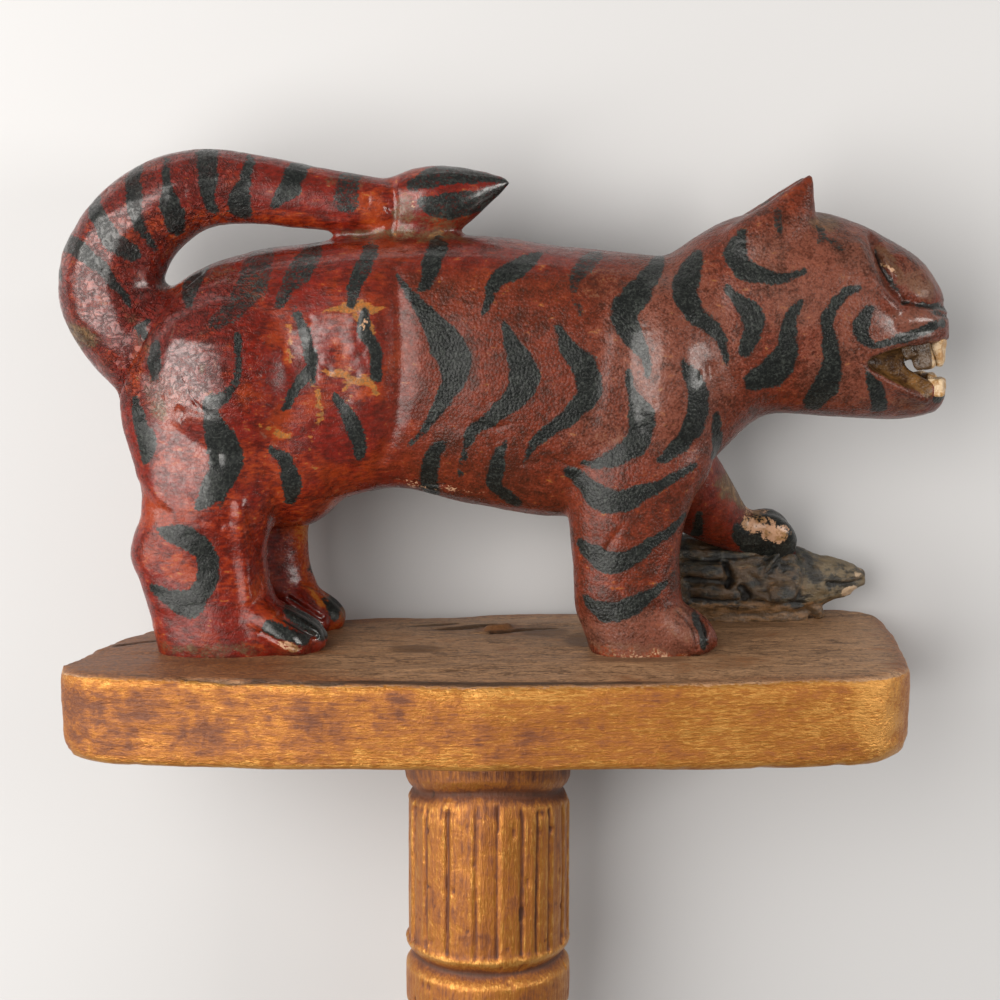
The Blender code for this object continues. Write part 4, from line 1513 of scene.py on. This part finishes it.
@dataclass(frozen=True)
class Teeth:
    """Gilded front teeth and long brown side teeth, set in the jaws."""

    voxel: float = 0.36
    half: tuple[Tooth, ...] = (
        Tooth(120.2, -3.4, 75.6, 83.4, 3.8, 5.0, 12),
        Tooth(118.6, -8.6, 75.8, 83.2, 4.4, 4.2, 34, 4),
        Tooth(114.2, -11.6, 75.0, 82.6, 5.4, 2.8, 22, -14),
        Tooth(110.6, -12.4, 77.6, 82, 3.6, 2.2, 8, -24),
        Tooth(120.6, -3.4, 67.6, 72.4, 3.4, 4.8, 10),
        Tooth(119.2, -8.2, 67.6, 72.4, 4.4, 3.8, 32, -4),
    )

    def _block(self, tooth: Tooth, mirrored: bool) -> Piece:
        """Makes one tooth, or its fellow on the far side.

        Args:
            tooth: The tooth, as it stands on the near side.
            mirrored: Whether it is the fellow on the far side.

        Returns:
            The tooth.
        """
        deselect()
        y, turn = (2 * MIDDLE - tooth.y, tooth.turn) if mirrored else (tooth.y, -tooth.turn)
        bpy.ops.mesh.primitive_cube_add(
            size=1, location=(tooth.x, y, (tooth.low + tooth.high) / 2),
            rotation=(0, math.radians(tooth.lean), math.radians(turn)),
        )
        block = bpy.context.object
        block.name = "tooth_block"
        block.scale = (tooth.along, tooth.across, tooth.high - tooth.low)
        bpy.ops.object.transform_apply(location=True, rotation=True, scale=True)
        refine(block, "BEVEL", width=0.9, segments=3)
        return block

    def build(self, staff: StaffFrame) -> None:
        """Sets, wears, dresses and hands over the teeth.

        Args:
            staff: The staff's place, which takes the finished pieces.
        """
        blocks = [self._block(tooth, mirrored) for tooth in self.half for mirrored in (False, True)]
        deselect()
        for block in blocks:
            block.select_set(True)
        bpy.context.view_layer.objects.active = blocks[0]
        bpy.ops.object.join()
        teeth = bpy.context.object
        teeth.name = teeth.data.name = "cat_teeth"
        melt(teeth, self.voxel)
        push(teeth, layered_noise(points_of(teeth), (2.6, 30, 0.42), (1.1, 31, 0.2)))
        x = points_of(teeth)[:, 0]
        note(teeth, stain=1 - soft_step(x, 115.6, 117.4))
        staff.hand_over(teeth, ToothFinish().dress(), "finial")


# ---------------------------------------------------------------- the prey

PREY_GOUGES = strokes(
    (1.7, (79.4, 14.8, 0.7), (82, 17.4, 1.9), (85, 21.6, 0.9)),
    (0.7, (60, 21.4, 0.7), (70, 21.8, 0.8), (80, 22.6, 0.6)),
    (0.6, (61, 18.8, 0.5), (69, 19.2, 0.7), (78, 20, 0.5)),
    (0.8, (74, 14.5, 1), (77, 12, 1.6), (79.5, 8, 1)),
    (2.2, (67, 17.6, 1.2), (68.6, 14, 1.8), (67.6, 11.4, 1.2)),
    (1.8, (71.5, 11.2, 1.2), (73.4, 8.8, 1.7), (72.4, 6.6, 1.2)),
    (1.2, (56, 13, 1), (64, 12.8, 1.1), (70, 12.6, 0.9)),
    (1.0, (58, 7.4, 0.9), (68, 6.6, 1.1), (90, 5.4, 0.9)),
    (0.7, (88, 20, 0.8), (89.6, 14, 1.1), (88.6, 8, 0.9)),
    side=Side.NEAR,
) + strokes(
    (1.3, (96.5, 11.5, 0.5), (101, 10.6, 0.9), (107.5, 11.4, 1.1)),
    (0.8, (91.6, 17.2, 0.5), (93.4, 16.4, 1), (95.2, 15.6, 0.5)),
)
PREY_SHADE = Patch(81, 17, 1.8, 4.6, 1, -32)
PREY_CHIPS = patches(
    (103.6, 8.6, 3.4, 1.9, 0.8, 18), (105.8, 14.2, 2.4, 2, 0.5), (94, 3.2, 3.5, 1.4, 0.45),
)


@dataclass(frozen=True)
class Prey:
    """The dark long-snouted prey lying under the cat's far forepaw."""

    middle: float = 30.0
    voxel: float = 0.48
    rough_easing: int = 5
    easing: int = 3
    body: tuple[Station, ...] = (  # place, top, underside, half width
        (45, 18, -3, 7), (49, 22.5, -3, 9.5), (58, 24, -3, 10.5), (70, 23.8, -3, 10.5),
        (82, 23.2, -2, 10.2), (89, 20.6, 0.8, 9.2), (94.5, 18.8, 3.2, 7.6), (101, 17, 5.6, 5.8),
        (106, 15.4, 8.4, 4.2), (108.6, 14, 10, 2.6),
    )
    limbs: tuple[tuple[Station, ...], ...] = (  # x, y, z, radius
        ((55, 21, 15.8, 2.6), (61, 19.4, 15.6, 2.9), (66.4, 19.6, 15.2, 2.7)),
        ((58, 21, 9.8, 2.6), (65, 19.4, 9.6, 2.9), (71.4, 19.8, 9.2, 2.6)),
        ((76, 22, 8.6, 3.2), (82, 20.6, 8.8, 3.6), (87, 21.4, 9.6, 3)),
        ((60, 25, 2.2, 3.6), (72, 24, 1.6, 3.4), (84, 24.6, 1.6, 3.2), (91, 27, 1.4, 2.6)),
        ((92, 27, 5.4, 2.6), (94.4, 26.4, 2.8, 2.2), (95.6, 27, 0.4, 1.6)),
        ((82, 24.2, 21, 2.4), (85, 23.4, 19, 2.4), (86.4, 23.4, 15.6, 2)),
    )
    ears: tuple[tuple[Station, ...], ...] = (
        ((84.5, 22.5, 20.5, 1.6), (81, 21, 17, 2.2), (79, 20.6, 14, 1.4)),
        ((84.5, 37.5, 20.5, 1.6), (81, 39, 17, 2.2), (79, 39.4, 14, 1.4)),
    )

    def build(self, staff: StaffFrame) -> None:
        """Carves, paints and hands over the prey.

        Args:
            staff: The staff's place, which takes the finished pieces.
        """
        clay = Clay()
        clay.lengthwise(self.body, self.middle)
        for limb in (*self.limbs, *self.ears):
            clay.limb(limb)
        form = clay.done("prey")
        melt(form, self.voxel)
        ease(form, self.rough_easing)
        carve(form, PREY_GOUGES)
        ease(form, self.easing)
        push(form, layered_noise(points_of(form), ((4.5, 2.6, 2.6), 21, 0.42), ((3, 0.9, 0.9), 22, 0.2),
                                 (1.3, 23, 0.2)))
        x, _, z = points_of(form).T
        note(
            form,
            hollow=hollowness(form, 12) + 0.5 * PREY_SHADE.amount(x, z),
            low=1 - soft_step(z, 2.5, 8.5),
            face=soft_step(x, 82, 96),
            chip=patched(PREY_CHIPS, x, z),
        )
        staff.hand_over(form, PreyPaint().dress(), "finial")


# ---------------------------------------------------------------- platform and shaft

TOP_GOUGES = strokes(  # in plan: place along x, place across y, half width
    (1.1, (-100.5, -7, 0.5), (-96, -5, 0.9), (-87, -1.5, 0.6)),
    (1.5, (-15, 11, 0.4), (-9, 13, 1.5), (-4, 15, 1.9), (2, 17.5, 0.8)),
    (1.5, (1, 9, 0.6), (7, 10, 1.3), (12, 12, 1.8), (19, 12.4, 0.4)),
    (0.7, (-22, 16, 0.3), (-15, 17.5, 0.8), (-9, 19, 0.4)),
    (0.9, (-5, 7.6, 0.6), (0, 7.4, 1.5), (6, 8.2, 0.7)),
    (0.7, (26, 15.5, 0.4), (31, 14, 1), (35, 12.5, 0.4)),
    (1.2, (-78, -39.6, 0.5), (-66, -41.6, 1.2), (-52, -43.2, 0.9), (-36, -45, 0.5)),
    (-1.3, (0, 12, 1.6), (4, 13.2, 2.4), (6, 14.4, 1.4)),
    (0.35, (-60, -33, 1), (-30, -35, 1.4), (0, -34, 1)),
    (0.35, (60, -12, 0.8), (80, -13, 1), (100, -12, 0.8)),
    (0.35, (66, -30, 1), (88, -28, 1.3), (104, -29, 0.8)),
)
# dirt and painted contact shade on the top round the cat's feet and under it, in plan
DIRT_AND_CONTACT_SHADE_PLACES = patches(
    (-19, -12, 9, 5, 0.85), (16, 8, 8, 7, 0.8), (26, -2, 6, 12, 0.8), (56, -8, 7, 12, 0.6),
    (-60, -26, 26, 4, 0.5), (40, -23, 16, 5, 0.7), (-88, 2, 6, 12, 0.6), (-46, -6, 6, 10, 0.6),
    (72, 18, 22, 5, 0.6),
)
KNOTS = patches(
    (3, 13.4, 8, 5, 1.0, 15), (-9, 12.5, 12, 6, 0.4, 20), (14, 15, 10, 6, 0.4),
)


# painted highlight towards the right end and painted shade towards the left end, in side view
PAINTED_HIGHLIGHT_AND_SHADE_PLACES = patches(
    (100, -11, 8, 10, 1.2), (70, -13, 34, 9, 0.4), (-108, -12, 8, 15, -0.4), (-76, -12, 52, 14, -0.25),
)


@dataclass(frozen=True)
class Platform:
    """A thick hand-cut slab, wider to the right, with a bowed near side and a slightly crowned top.

    Plan points are in upright mm: place along x, place across y, and the width of the rounding there.
    """

    thickness: float = 24.0
    near_side: tuple[Point, ...] = (
        (-111.8, -36.6, 14), (-84, -41.2, 0), (-44, -46.2, 0), (0, -48.2, 0), (44, -46.8, 0),
        (84, -42.2, 0), (109.6, -37.4, 13),
    )
    right_end: tuple[Point, ...] = ((112.6, -6, 0), (114, 14, 0))
    far_side: tuple[Point, ...] = (
        (114.2, 40.8, 14), (84, 40.6, 0), (20, 36.2, 0), (-38, 27.8, 0), (-92.5, 19.4, 9),
    )
    left_end: tuple[Point, ...] = ((-101.4, 2.6, 0), (-106.4, -9.5, 0), (-110.8, -27.6, 0))
    crown: float = 0.4
    slope: float = 0.8
    sag: float = 1.1
    end_bevel: float = 5.0
    end_roll: float = 6.5
    side_bevel: float = 1.8
    top_bevel: float = 2.2
    voxel: float = 0.85
    easing: int = 3

    @property
    def plan(self) -> tuple[Point, ...]:
        """The whole outline, seen from above."""
        return self.near_side + self.right_end + self.far_side + self.left_end

    def _margin(self, points: np.ndarray, outline: Sequence[Point]) -> np.ndarray:
        """How far inside the sides that join an outline's points each point is, in mm."""
        x, y, _ = points.T
        return np.minimum.reduce([
            ((bx - ax) * (y - ay) - (by - ay) * (x - ax)) / math.hypot(bx - ax, by - ay)
            for (ax, ay, _), (bx, by, _) in zip(outline, outline[1:])
        ])

    def _bevel(self, slab: Piece, test: Callable[[Vector], bool], width: float,
               steps: int) -> None:
        """In edit mode, rounds the edges whose two ends both pass a test.

        Args:
            slab: The platform's form.
            test: Whether a vertex belongs to an edge that is rounded.
            width: The bevel's width in mm.
            steps: How many facets it has.
        """
        bpy.ops.mesh.select_mode(type="EDGE")
        bpy.ops.mesh.select_all(action="DESELECT")
        heap = bmesh.from_edit_mesh(slab.data)
        for edge in heap.edges:
            if all(test(vert.co) for vert in edge.verts):
                edge.select_set(True)
        bmesh.update_edit_mesh(slab.data)
        bpy.ops.mesh.bevel(offset=width, segments=steps, affect="EDGES")

    def _cut_slab(self) -> Piece:
        """The slab, sawn to its plan, with rounded corners and eased edges.

        Returns:
            The slab.
        """
        clay = Clay()
        clay.skin([[Vector((x, y, level)) for x, y, _ in self.plan] for level in (-self.thickness, 0.0)])
        slab = clay.done("platform")
        pick(slab)
        bpy.ops.object.mode_set(mode="EDIT")
        for x, y, width in self.plan:
            if width:
                corner = Vector((x, y))
                self._bevel(slab, lambda spot: (spot.xy - corner).length < NEAR_ENOUGH, width, 8)
        for level, width in ((-self.thickness, self.side_bevel), (0.0, self.top_bevel)):
            self._bevel(slab, lambda spot: abs(spot.z - level) < NEAR_ENOUGH, width, 3)
        bpy.ops.object.mode_set(mode="OBJECT")
        return slab

    def _bend(self, points: np.ndarray) -> np.ndarray:
        """Rolls the ends under and crowns and tips the top.

        Args:
            points: One row for each vertex.

        Returns:
            The moved points.
        """
        x, y, z = points.T.copy()
        reach = x / self.near_side[-1][0]
        height = np.clip((z + self.thickness) / self.end_bevel, 0, 1)
        x = x - self.end_roll * reach * (1 - np.sqrt(1 - (1 - height) ** 2))
        upper = soft_step(z, -14, -1)
        z = z - upper * self.crown * (1 - soft_step(self._margin(points, self.plan), 0, 16))
        z = z + upper * self.slope * y / 40
        z = z - (1 - upper) * self.sag * reach ** 2
        return np.stack([x, y, z], 1)

    def _tool(self, slab: Piece) -> None:
        """Adze marks, grain, chipped edges, the crack and the knot.

        Args:
            slab: The platform's form.
        """
        points, normals = points_of(slab), normals_of(slab)
        ridge = np.clip(-hollowness(slab, 8), 0, 1)
        marks = layered_noise(points, ((34, 9, 8), 41, 0.30), ((13, 2.4, 2.2), 42, 0.14))
        grain = layered_noise(points, ((8, 1.1, 1.1), 43, 0.07))
        chips = -ridge * soft_step(lattice_noise(points, (5, 3, 3), 44), 0.0, 0.7)
        points = points + normals * (marks + grain + chips)[:, None]
        top = soft_step(normals[:, 2], 0.6, 0.9)
        for stroke in TOP_GOUGES:
            points[:, 2] -= stroke.strength * stroke.nearness(points[:, 0], points[:, 1]) * top
        place(slab, points)

    def build(self, staff: StaffFrame) -> None:
        """Cuts, gilds and hands over the platform.

        Args:
            staff: The staff's place, which takes the finished pieces.
        """
        slab = self._cut_slab()
        melt(slab, self.voxel)
        place(slab, self._bend(points_of(slab)))
        ease(slab, self.easing)
        self._tool(slab)
        points, normals = points_of(slab), normals_of(slab)
        x, y, z = points.T
        margin = self._margin(points, self.near_side)
        whole = self._margin(points, self.plan)
        facing = soft_step(normals[:, 2], 0.25, 0.7)
        browned = np.exp(-np.clip(whole, 0, 99) / 6) + 0.8 * (1 - soft_step(x, -75, -15))
        line = np.exp(-((margin - 2.4) / 1.5) ** 2) * facing
        scars = [soft_step(stroke.inside(x, y), -2.2, 1.0) for stroke in TOP_GOUGES[:4]]
        note(
            slab,
            hollow=hollowness(slab, 6),
            top=facing * soft_step(margin, -1.0, 3.0),
            edge=facing * np.minimum(browned, 1) * soft_step(z, -3, -1),
            rim=line * (0.42 + 0.58 * np.exp(-((x + 5) / 45) ** 2)),
            # painted highlight towards the right end, painted shade towards the left end
            polish=patched(PAINTED_HIGHLIGHT_AND_SHADE_PLACES, x, z),
            scar=np.maximum.reduce(scars) * facing,
            # dirt and painted contact shade round the cat's feet
            smudge=patched(DIRT_AND_CONTACT_SHADE_PLACES, x, y),
            knot=patched(KNOTS, x, y),
        )
        gilding = Gilding("platform_gilding", (10, 1, 1))
        staff.hand_over(slab, PlatformFinish(gilding).dress(), "finial")


@dataclass(frozen=True)
class Shaft:
    """A long turned staff of four modules, each a carved group and a plain length."""

    top: float = -24.3
    end: float = FOOT_END
    modules: int = 4
    radius: float = 22.9
    taper: float = 0.05
    plain: float = 18.5
    foot: float = 16.5
    foot_swell: float = 1.6
    foot_ring: float = 26.0
    ring: float = 17.0
    drum: float = 47.0
    groove: float = 2.6
    flutes: int = 20
    flute_depth: float = 1.0
    shoulder: float = 3.4
    seen_flutes: tuple[float, ...] = (-66.5, -48.3, -29.3, -8.0, 7.5, 24.9, 37.0, 49.1, 67.8)  # degrees
    first_seed: int = 60  # the top drum's; each drum is turned by the degrees its seed lies above it
    seed_step: int = 97
    neck_rise: float = 4.0
    sides: int = 320
    fine_step: float = 0.8
    plain_step: float = 3.0

    @property
    def length(self) -> float:
        """The length of one module."""
        return (self.top - self.end) / self.modules

    def _start(self, index: int) -> float:
        """The height at which a module starts."""
        return self.top - self.length * index

    def _full(self, index: int) -> float:
        """The radius of a module's rings."""
        return self.radius * (1 - self.taper * index)

    def _plain_radius(self, height: float) -> float:
        """The radius of the gently tapering plain lengths."""
        return self.plain + (self.foot - self.plain) * (self.top - height) / (self.top - self.end)

    def _ring(self, top: float, full: float) -> list[tuple[float, float]]:
        """Heights and radii of one turned ring between two grooves."""
        return [
            (top, full - self.groove), (top - 0.9, full - 1.9), (top - 2.4, full - 0.5), (top - 3.2, full),
            (top - 8, full + 0.1), (top - self.ring + 3.4, full - 0.1), (top - self.ring + 1.4, full - 1.1),
            (top - self.ring, full - self.groove),
        ]

    def _outline(self, index: int) -> list[tuple[float, float]]:
        """The turned outline of one module, from its top down.

        Args:
            index: The module's number, from the top.

        Returns:
            Its points, each a height and a radius.
        """
        top, full = self._start(index), self._full(index)
        bottom = self._start(index + 1)
        outline = self._ring(top, full)
        if index == 0:
            outline[0] = (top, full - 0.6)
        if index < self.modules - 1:
            drum_top = top - self.ring
            drum_bottom = drum_top - self.drum
            outline += [
                (drum_top - 1.0, full - 2.1), (drum_top - 3.4, full - 0.5), (drum_top - 4.8, full),
                (drum_bottom + 3.6, full), (drum_bottom + 2.6, full - 0.5), (drum_bottom + 0.8, full - 2.2),
            ]
            outline += self._ring(drum_bottom, full)
        last = outline[-1][0]
        outline.append((last - 3, self._plain_radius(last)))
        if index < self.modules - 1:
            lower = self._full(index + 1) - self.groove
            outline += [(bottom + 3, self._plain_radius(bottom)), (bottom, lower)]
        else:
            foot = self.end + self.foot_ring
            swollen = self.foot + self.foot_swell
            outline += [
                (foot + 3, self._plain_radius(foot)), (foot, swollen), (self.end + 2, swollen),
                (self.end, self.foot),
            ]
        return outline

    def _sampled(self, outline: list[tuple[float, float]], carved_to: float) -> list[tuple[float, float]]:
        """The outline at close heights, finer where it is carved, with its corners eased.

        Args:
            outline: Its points from the top down, each a height and a radius.
            carved_to: The height down to which the steps are fine.

        Returns:
            The closer points, in the same order.
        """
        heights, radii = (np.array(column) for column in zip(*outline))
        out = [outline[0][0]]
        while out[-1] > outline[-1][0] + 0.01:
            fine = out[-1] > carved_to or out[-1] < self.end + self.foot_ring + 6
            out.append(max(out[-1] - (self.fine_step if fine else self.plain_step), outline[-1][0]))
        where = np.array(out)
        eased = sum(
            share * np.interp(-(where + shift), -heights, radii)
            for shift, share in ((-0.5, 0.25), (0, 0.5), (0.5, 0.25))
        )
        return list(zip(where.tolist(), np.asarray(eased).tolist()))

    def _turn(self, name: str, outline: list[tuple[float, float]]) -> Piece:
        """Spins an outline into a closed turned form.

        Args:
            name: Its name.
            outline: Its points from the top down, each a height and a radius.

        Returns:
            The form.
        """
        spots = [(0, 0, outline[0][0]), *((r, 0, h) for h, r in outline), (0, 0, outline[-1][0])]
        mesh = bpy.data.meshes.new(name)
        mesh.from_pydata(spots, [(i, i + 1) for i in range(len(spots) - 1)], [])
        form = bpy.data.objects.new(name, mesh)
        bpy.context.scene.collection.objects.link(form)
        pick(form)
        bpy.ops.object.mode_set(mode="EDIT")
        bpy.ops.mesh.select_all(action="SELECT")
        bpy.ops.mesh.spin(steps=self.sides, angle=2 * math.pi, center=(0, 0, 0), axis=(0, 0, 1))
        bpy.ops.mesh.select_all(action="SELECT")
        bpy.ops.mesh.remove_doubles(threshold=0.001)
        bpy.ops.mesh.normals_make_consistent(inside=False)
        bpy.ops.object.mode_set(mode="OBJECT")
        return form

    def _raise_neck(self, form: Piece, neck: float) -> None:
        """Lifts the groove under the first ring at the front and back, as a hand-cut neck does.

        Args:
            form: The form that is worked on.
            neck: The height of the groove under the first ring.
        """
        points = points_of(form)
        x, y, z = points.T
        front = (y / np.maximum(np.hypot(x, y), 0.1)) ** 2
        near_neck = soft_step(z, neck - 6.5, neck - 1.0) * (1 - soft_step(z, neck + 1.0, neck + 14))
        points[:, 2] += self.neck_rise * front * near_neck
        place(form, points)

    def _flute(self, form: Piece, drum_top: float, seed: int) -> None:
        """Cuts V-shaped grooves down one drum, and tips each stave between them a little differently.

        Args:
            form: The form that is worked on.
            drum_top: The height of the drum's top.
            seed: Which random draws it takes.
        """
        points = points_of(form)
        x, y, z = points.T
        rng = np.random.default_rng(seed)
        angle = np.degrees(np.arctan2(x, -y))
        reach = np.hypot(x, y)
        rest = self.flutes - len(self.seen_flutes) + 1
        hidden = np.linspace(self.seen_flutes[-1], self.seen_flutes[0] + 360, rest + 1)[1:-1]
        hidden = hidden + rng.uniform(-1.6, 1.6, len(hidden))
        edges = np.sort((np.concatenate([self.seen_flutes, hidden]) + seed) % 360)
        edges = np.sort((edges - self.first_seed) % 360)
        count = len(edges)
        depths = rng.uniform(0.55, 1.15, count) * self.flute_depth
        sinks = rng.uniform(0.0, 0.45, count)
        tips = rng.uniform(-0.42, 0.42, count)
        ends = rng.uniform(-0.6, 0.6, (2, count))
        wander = lattice_noise(np.stack([z, angle * 0, angle * 0], 1), (14, 9, 9), seed) * 0.3
        apart = np.radians((angle[:, None] - edges[None, :] + 180) % 360 - 180)
        turn = apart * reach[:, None] + wander[:, None]
        nearest = np.abs(turn).argmin(1)
        offset = turn[np.arange(len(turn)), nearest]
        gap = np.abs(offset)
        stave = np.where(offset > 0, nearest, (nearest - 1) % count)
        upper = drum_top - self.shoulder + ends[0][stave]
        lower = drum_top - self.drum + 4.8 + ends[1][stave]
        along = soft_step(upper - z, -0.4, 0.6) * soft_step(z - lower, -0.4, 0.8)
        tilt = tips[stave] * np.clip(1 - gap / 3.5, 0, 1) * np.sign(offset)
        cut = depths[nearest] * np.clip(1 - gap / 0.95, 0, 1) ** 0.8 + sinks[stave] + tilt + 0.35
        share = 1 - along * cut / np.maximum(reach, 1)
        place(form, np.stack([x * share, y * share, z], 1))

    def _weather(self, form: Piece, seed: int) -> None:
        """Raises the grain and dents the form a little.

        Args:
            form: The form that is worked on.
            seed: Which random draws it takes.
        """
        points = points_of(form)
        side = 1 - soft_step(np.abs(normals_of(form)[:, 2]), 0.7, 0.95)
        worn = layered_noise(points, ((0.9, 0.9, 16), seed, 0.07), ((2.6, 2.6, 34), seed + 1, 0.10),
                      ((5, 5, 8), seed + 2, 0.14))
        nicks = soft_step(lattice_noise(points, (1.8, 1.8, 2.6), seed + 3), 0.62, 0.85) * -0.4
        push(form, side * (worn + nicks))

    def build(self, staff: StaffFrame) -> None:
        """Turns, carves, gilds and hands over each module."""
        material = Gilding("shaft_gilding", (1, 11, 1)).dress()
        for index in range(self.modules):
            top = self._start(index)
            drum_top = top - self.ring
            carved = index < self.modules - 1
            carved_to = drum_top - self.drum - self.ring - 4 if carved else drum_top - 4
            form = self._turn(f"shaft_module_{index + 1}", self._sampled(self._outline(index), carved_to))
            if carved:
                self._flute(form, drum_top, self.first_seed + self.seed_step * index)
            if index == 0:
                self._raise_neck(form, drum_top)
            self._weather(form, 70 + 5 * index)
            z, rising = points_of(form)[:, 2], normals_of(form)[:, 2]
            band = soft_step(z, drum_top - 7, drum_top - 5) * (1 - soft_step(z, drum_top + 4, drum_top + 5.5))
            note(
                form,
                hollow=hollowness(form, 5) + 0.2 * band * soft_step(rising, 0.1, 0.4),
                # painted shade at the shaft's top, under the platform
                polish=-0.45 * soft_step(z, -44, -36),
            )
            staff.hand_over(form, material, "shaft")


# ---------------------------------------------------------------- the studio


@dataclass(frozen=True)
class Softbox:
    """One soft light: its place and aim in upright mm, its sides in mm, and its power in watts."""

    name: str
    place: Point
    aim: Point
    width: float
    height: float
    power: float
    colour: Colour = (1.0, 0.965, 0.92)


@dataclass(frozen=True)
class Studio:
    """A pale floor, soft lights and the camera that looks at the cat's side from a little above."""

    eye: Point = (3.4, -523.2, 114.0)
    pitch: float = 8.2
    lens: float = 70.06
    sensor: float = 36.0
    nearest: float = 0.01  # metres
    floor_size: float = 8.0
    haze: Colour = (0.90, 0.90, 0.90)
    haze_strength: float = 0.22
    lights: tuple[Softbox, ...] = (
        Softbox("light_left", (-500, -560, 120), (-10, 0, 60), 800, 900, 13.8),
        Softbox("light_right", (570, -345, 150), (30, 0, 30), 220, 320, 2.5),
        Softbox("light_overhead", (0, 120, 560), (0, 0, 60), 600, 240, 0.8),
    )

    def build(self, staff: StaffFrame) -> None:
        """Lays the floor, hangs the lights and sets the camera.

        Args:
            staff: The staff's place, which takes the finished pieces.
        """
        matrix = staff.matrix()
        turn = matrix.to_quaternion()
        deselect()
        bpy.ops.mesh.primitive_plane_add(size=self.floor_size)
        floor = bpy.context.object
        floor.name = floor.data.name = "floor"
        floor.data.materials.append(FloorFinish().dress())
        for box in self.lights:
            bpy.ops.object.light_add(type="AREA", location=matrix @ Vector(box.place))
            lamp = bpy.context.object
            lamp.name = box.name
            lamp.data.shape = "RECTANGLE"
            lamp.data.size, lamp.data.size_y = box.width * MM, box.height * MM
            lamp.data.energy = box.power
            lamp.data.color = box.colour
            aim = turn @ (Vector(box.aim) - Vector(box.place))
            lamp.rotation_mode = "QUATERNION"
            lamp.rotation_quaternion = aim.to_track_quat("-Z", "Y")
        self._hang_haze()
        bpy.ops.object.camera_add()
        camera = bpy.context.object
        camera.name = "camera"
        camera.data.lens = self.lens
        camera.data.sensor_width = self.sensor
        camera.data.clip_start = self.nearest
        tip = Matrix.Rotation(math.radians(90 - self.pitch), 4, "X")
        camera.matrix_world = Matrix.LocRotScale(matrix @ Vector(self.eye), turn, None) @ tip
        bpy.context.scene.camera = camera

    def _hang_haze(self) -> None:
        """A plain pale surround."""
        world = bpy.data.worlds.new("studio_haze")
        world.use_nodes = True
        backdrop = world.node_tree.nodes["Background"]
        backdrop.inputs["Color"].default_value = (*self.haze, 1.0)
        backdrop.inputs["Strength"].default_value = self.haze_strength
        bpy.context.scene.world = world


def main() -> None:
    """Builds the staff piece by piece and then its studio."""
    logging.basicConfig(level=logging.INFO, format="%(name)s: %(message)s")
    bpy.context.scene.view_settings.view_transform = "Standard"
    staff = StaffFrame()
    Studio().build(staff)
    Shaft().build(staff)
    Platform().build(staff)
    Prey().build(staff)
    Cat().build(staff)
    Teeth().build(staff)


if __name__ == "__main__":
    main()
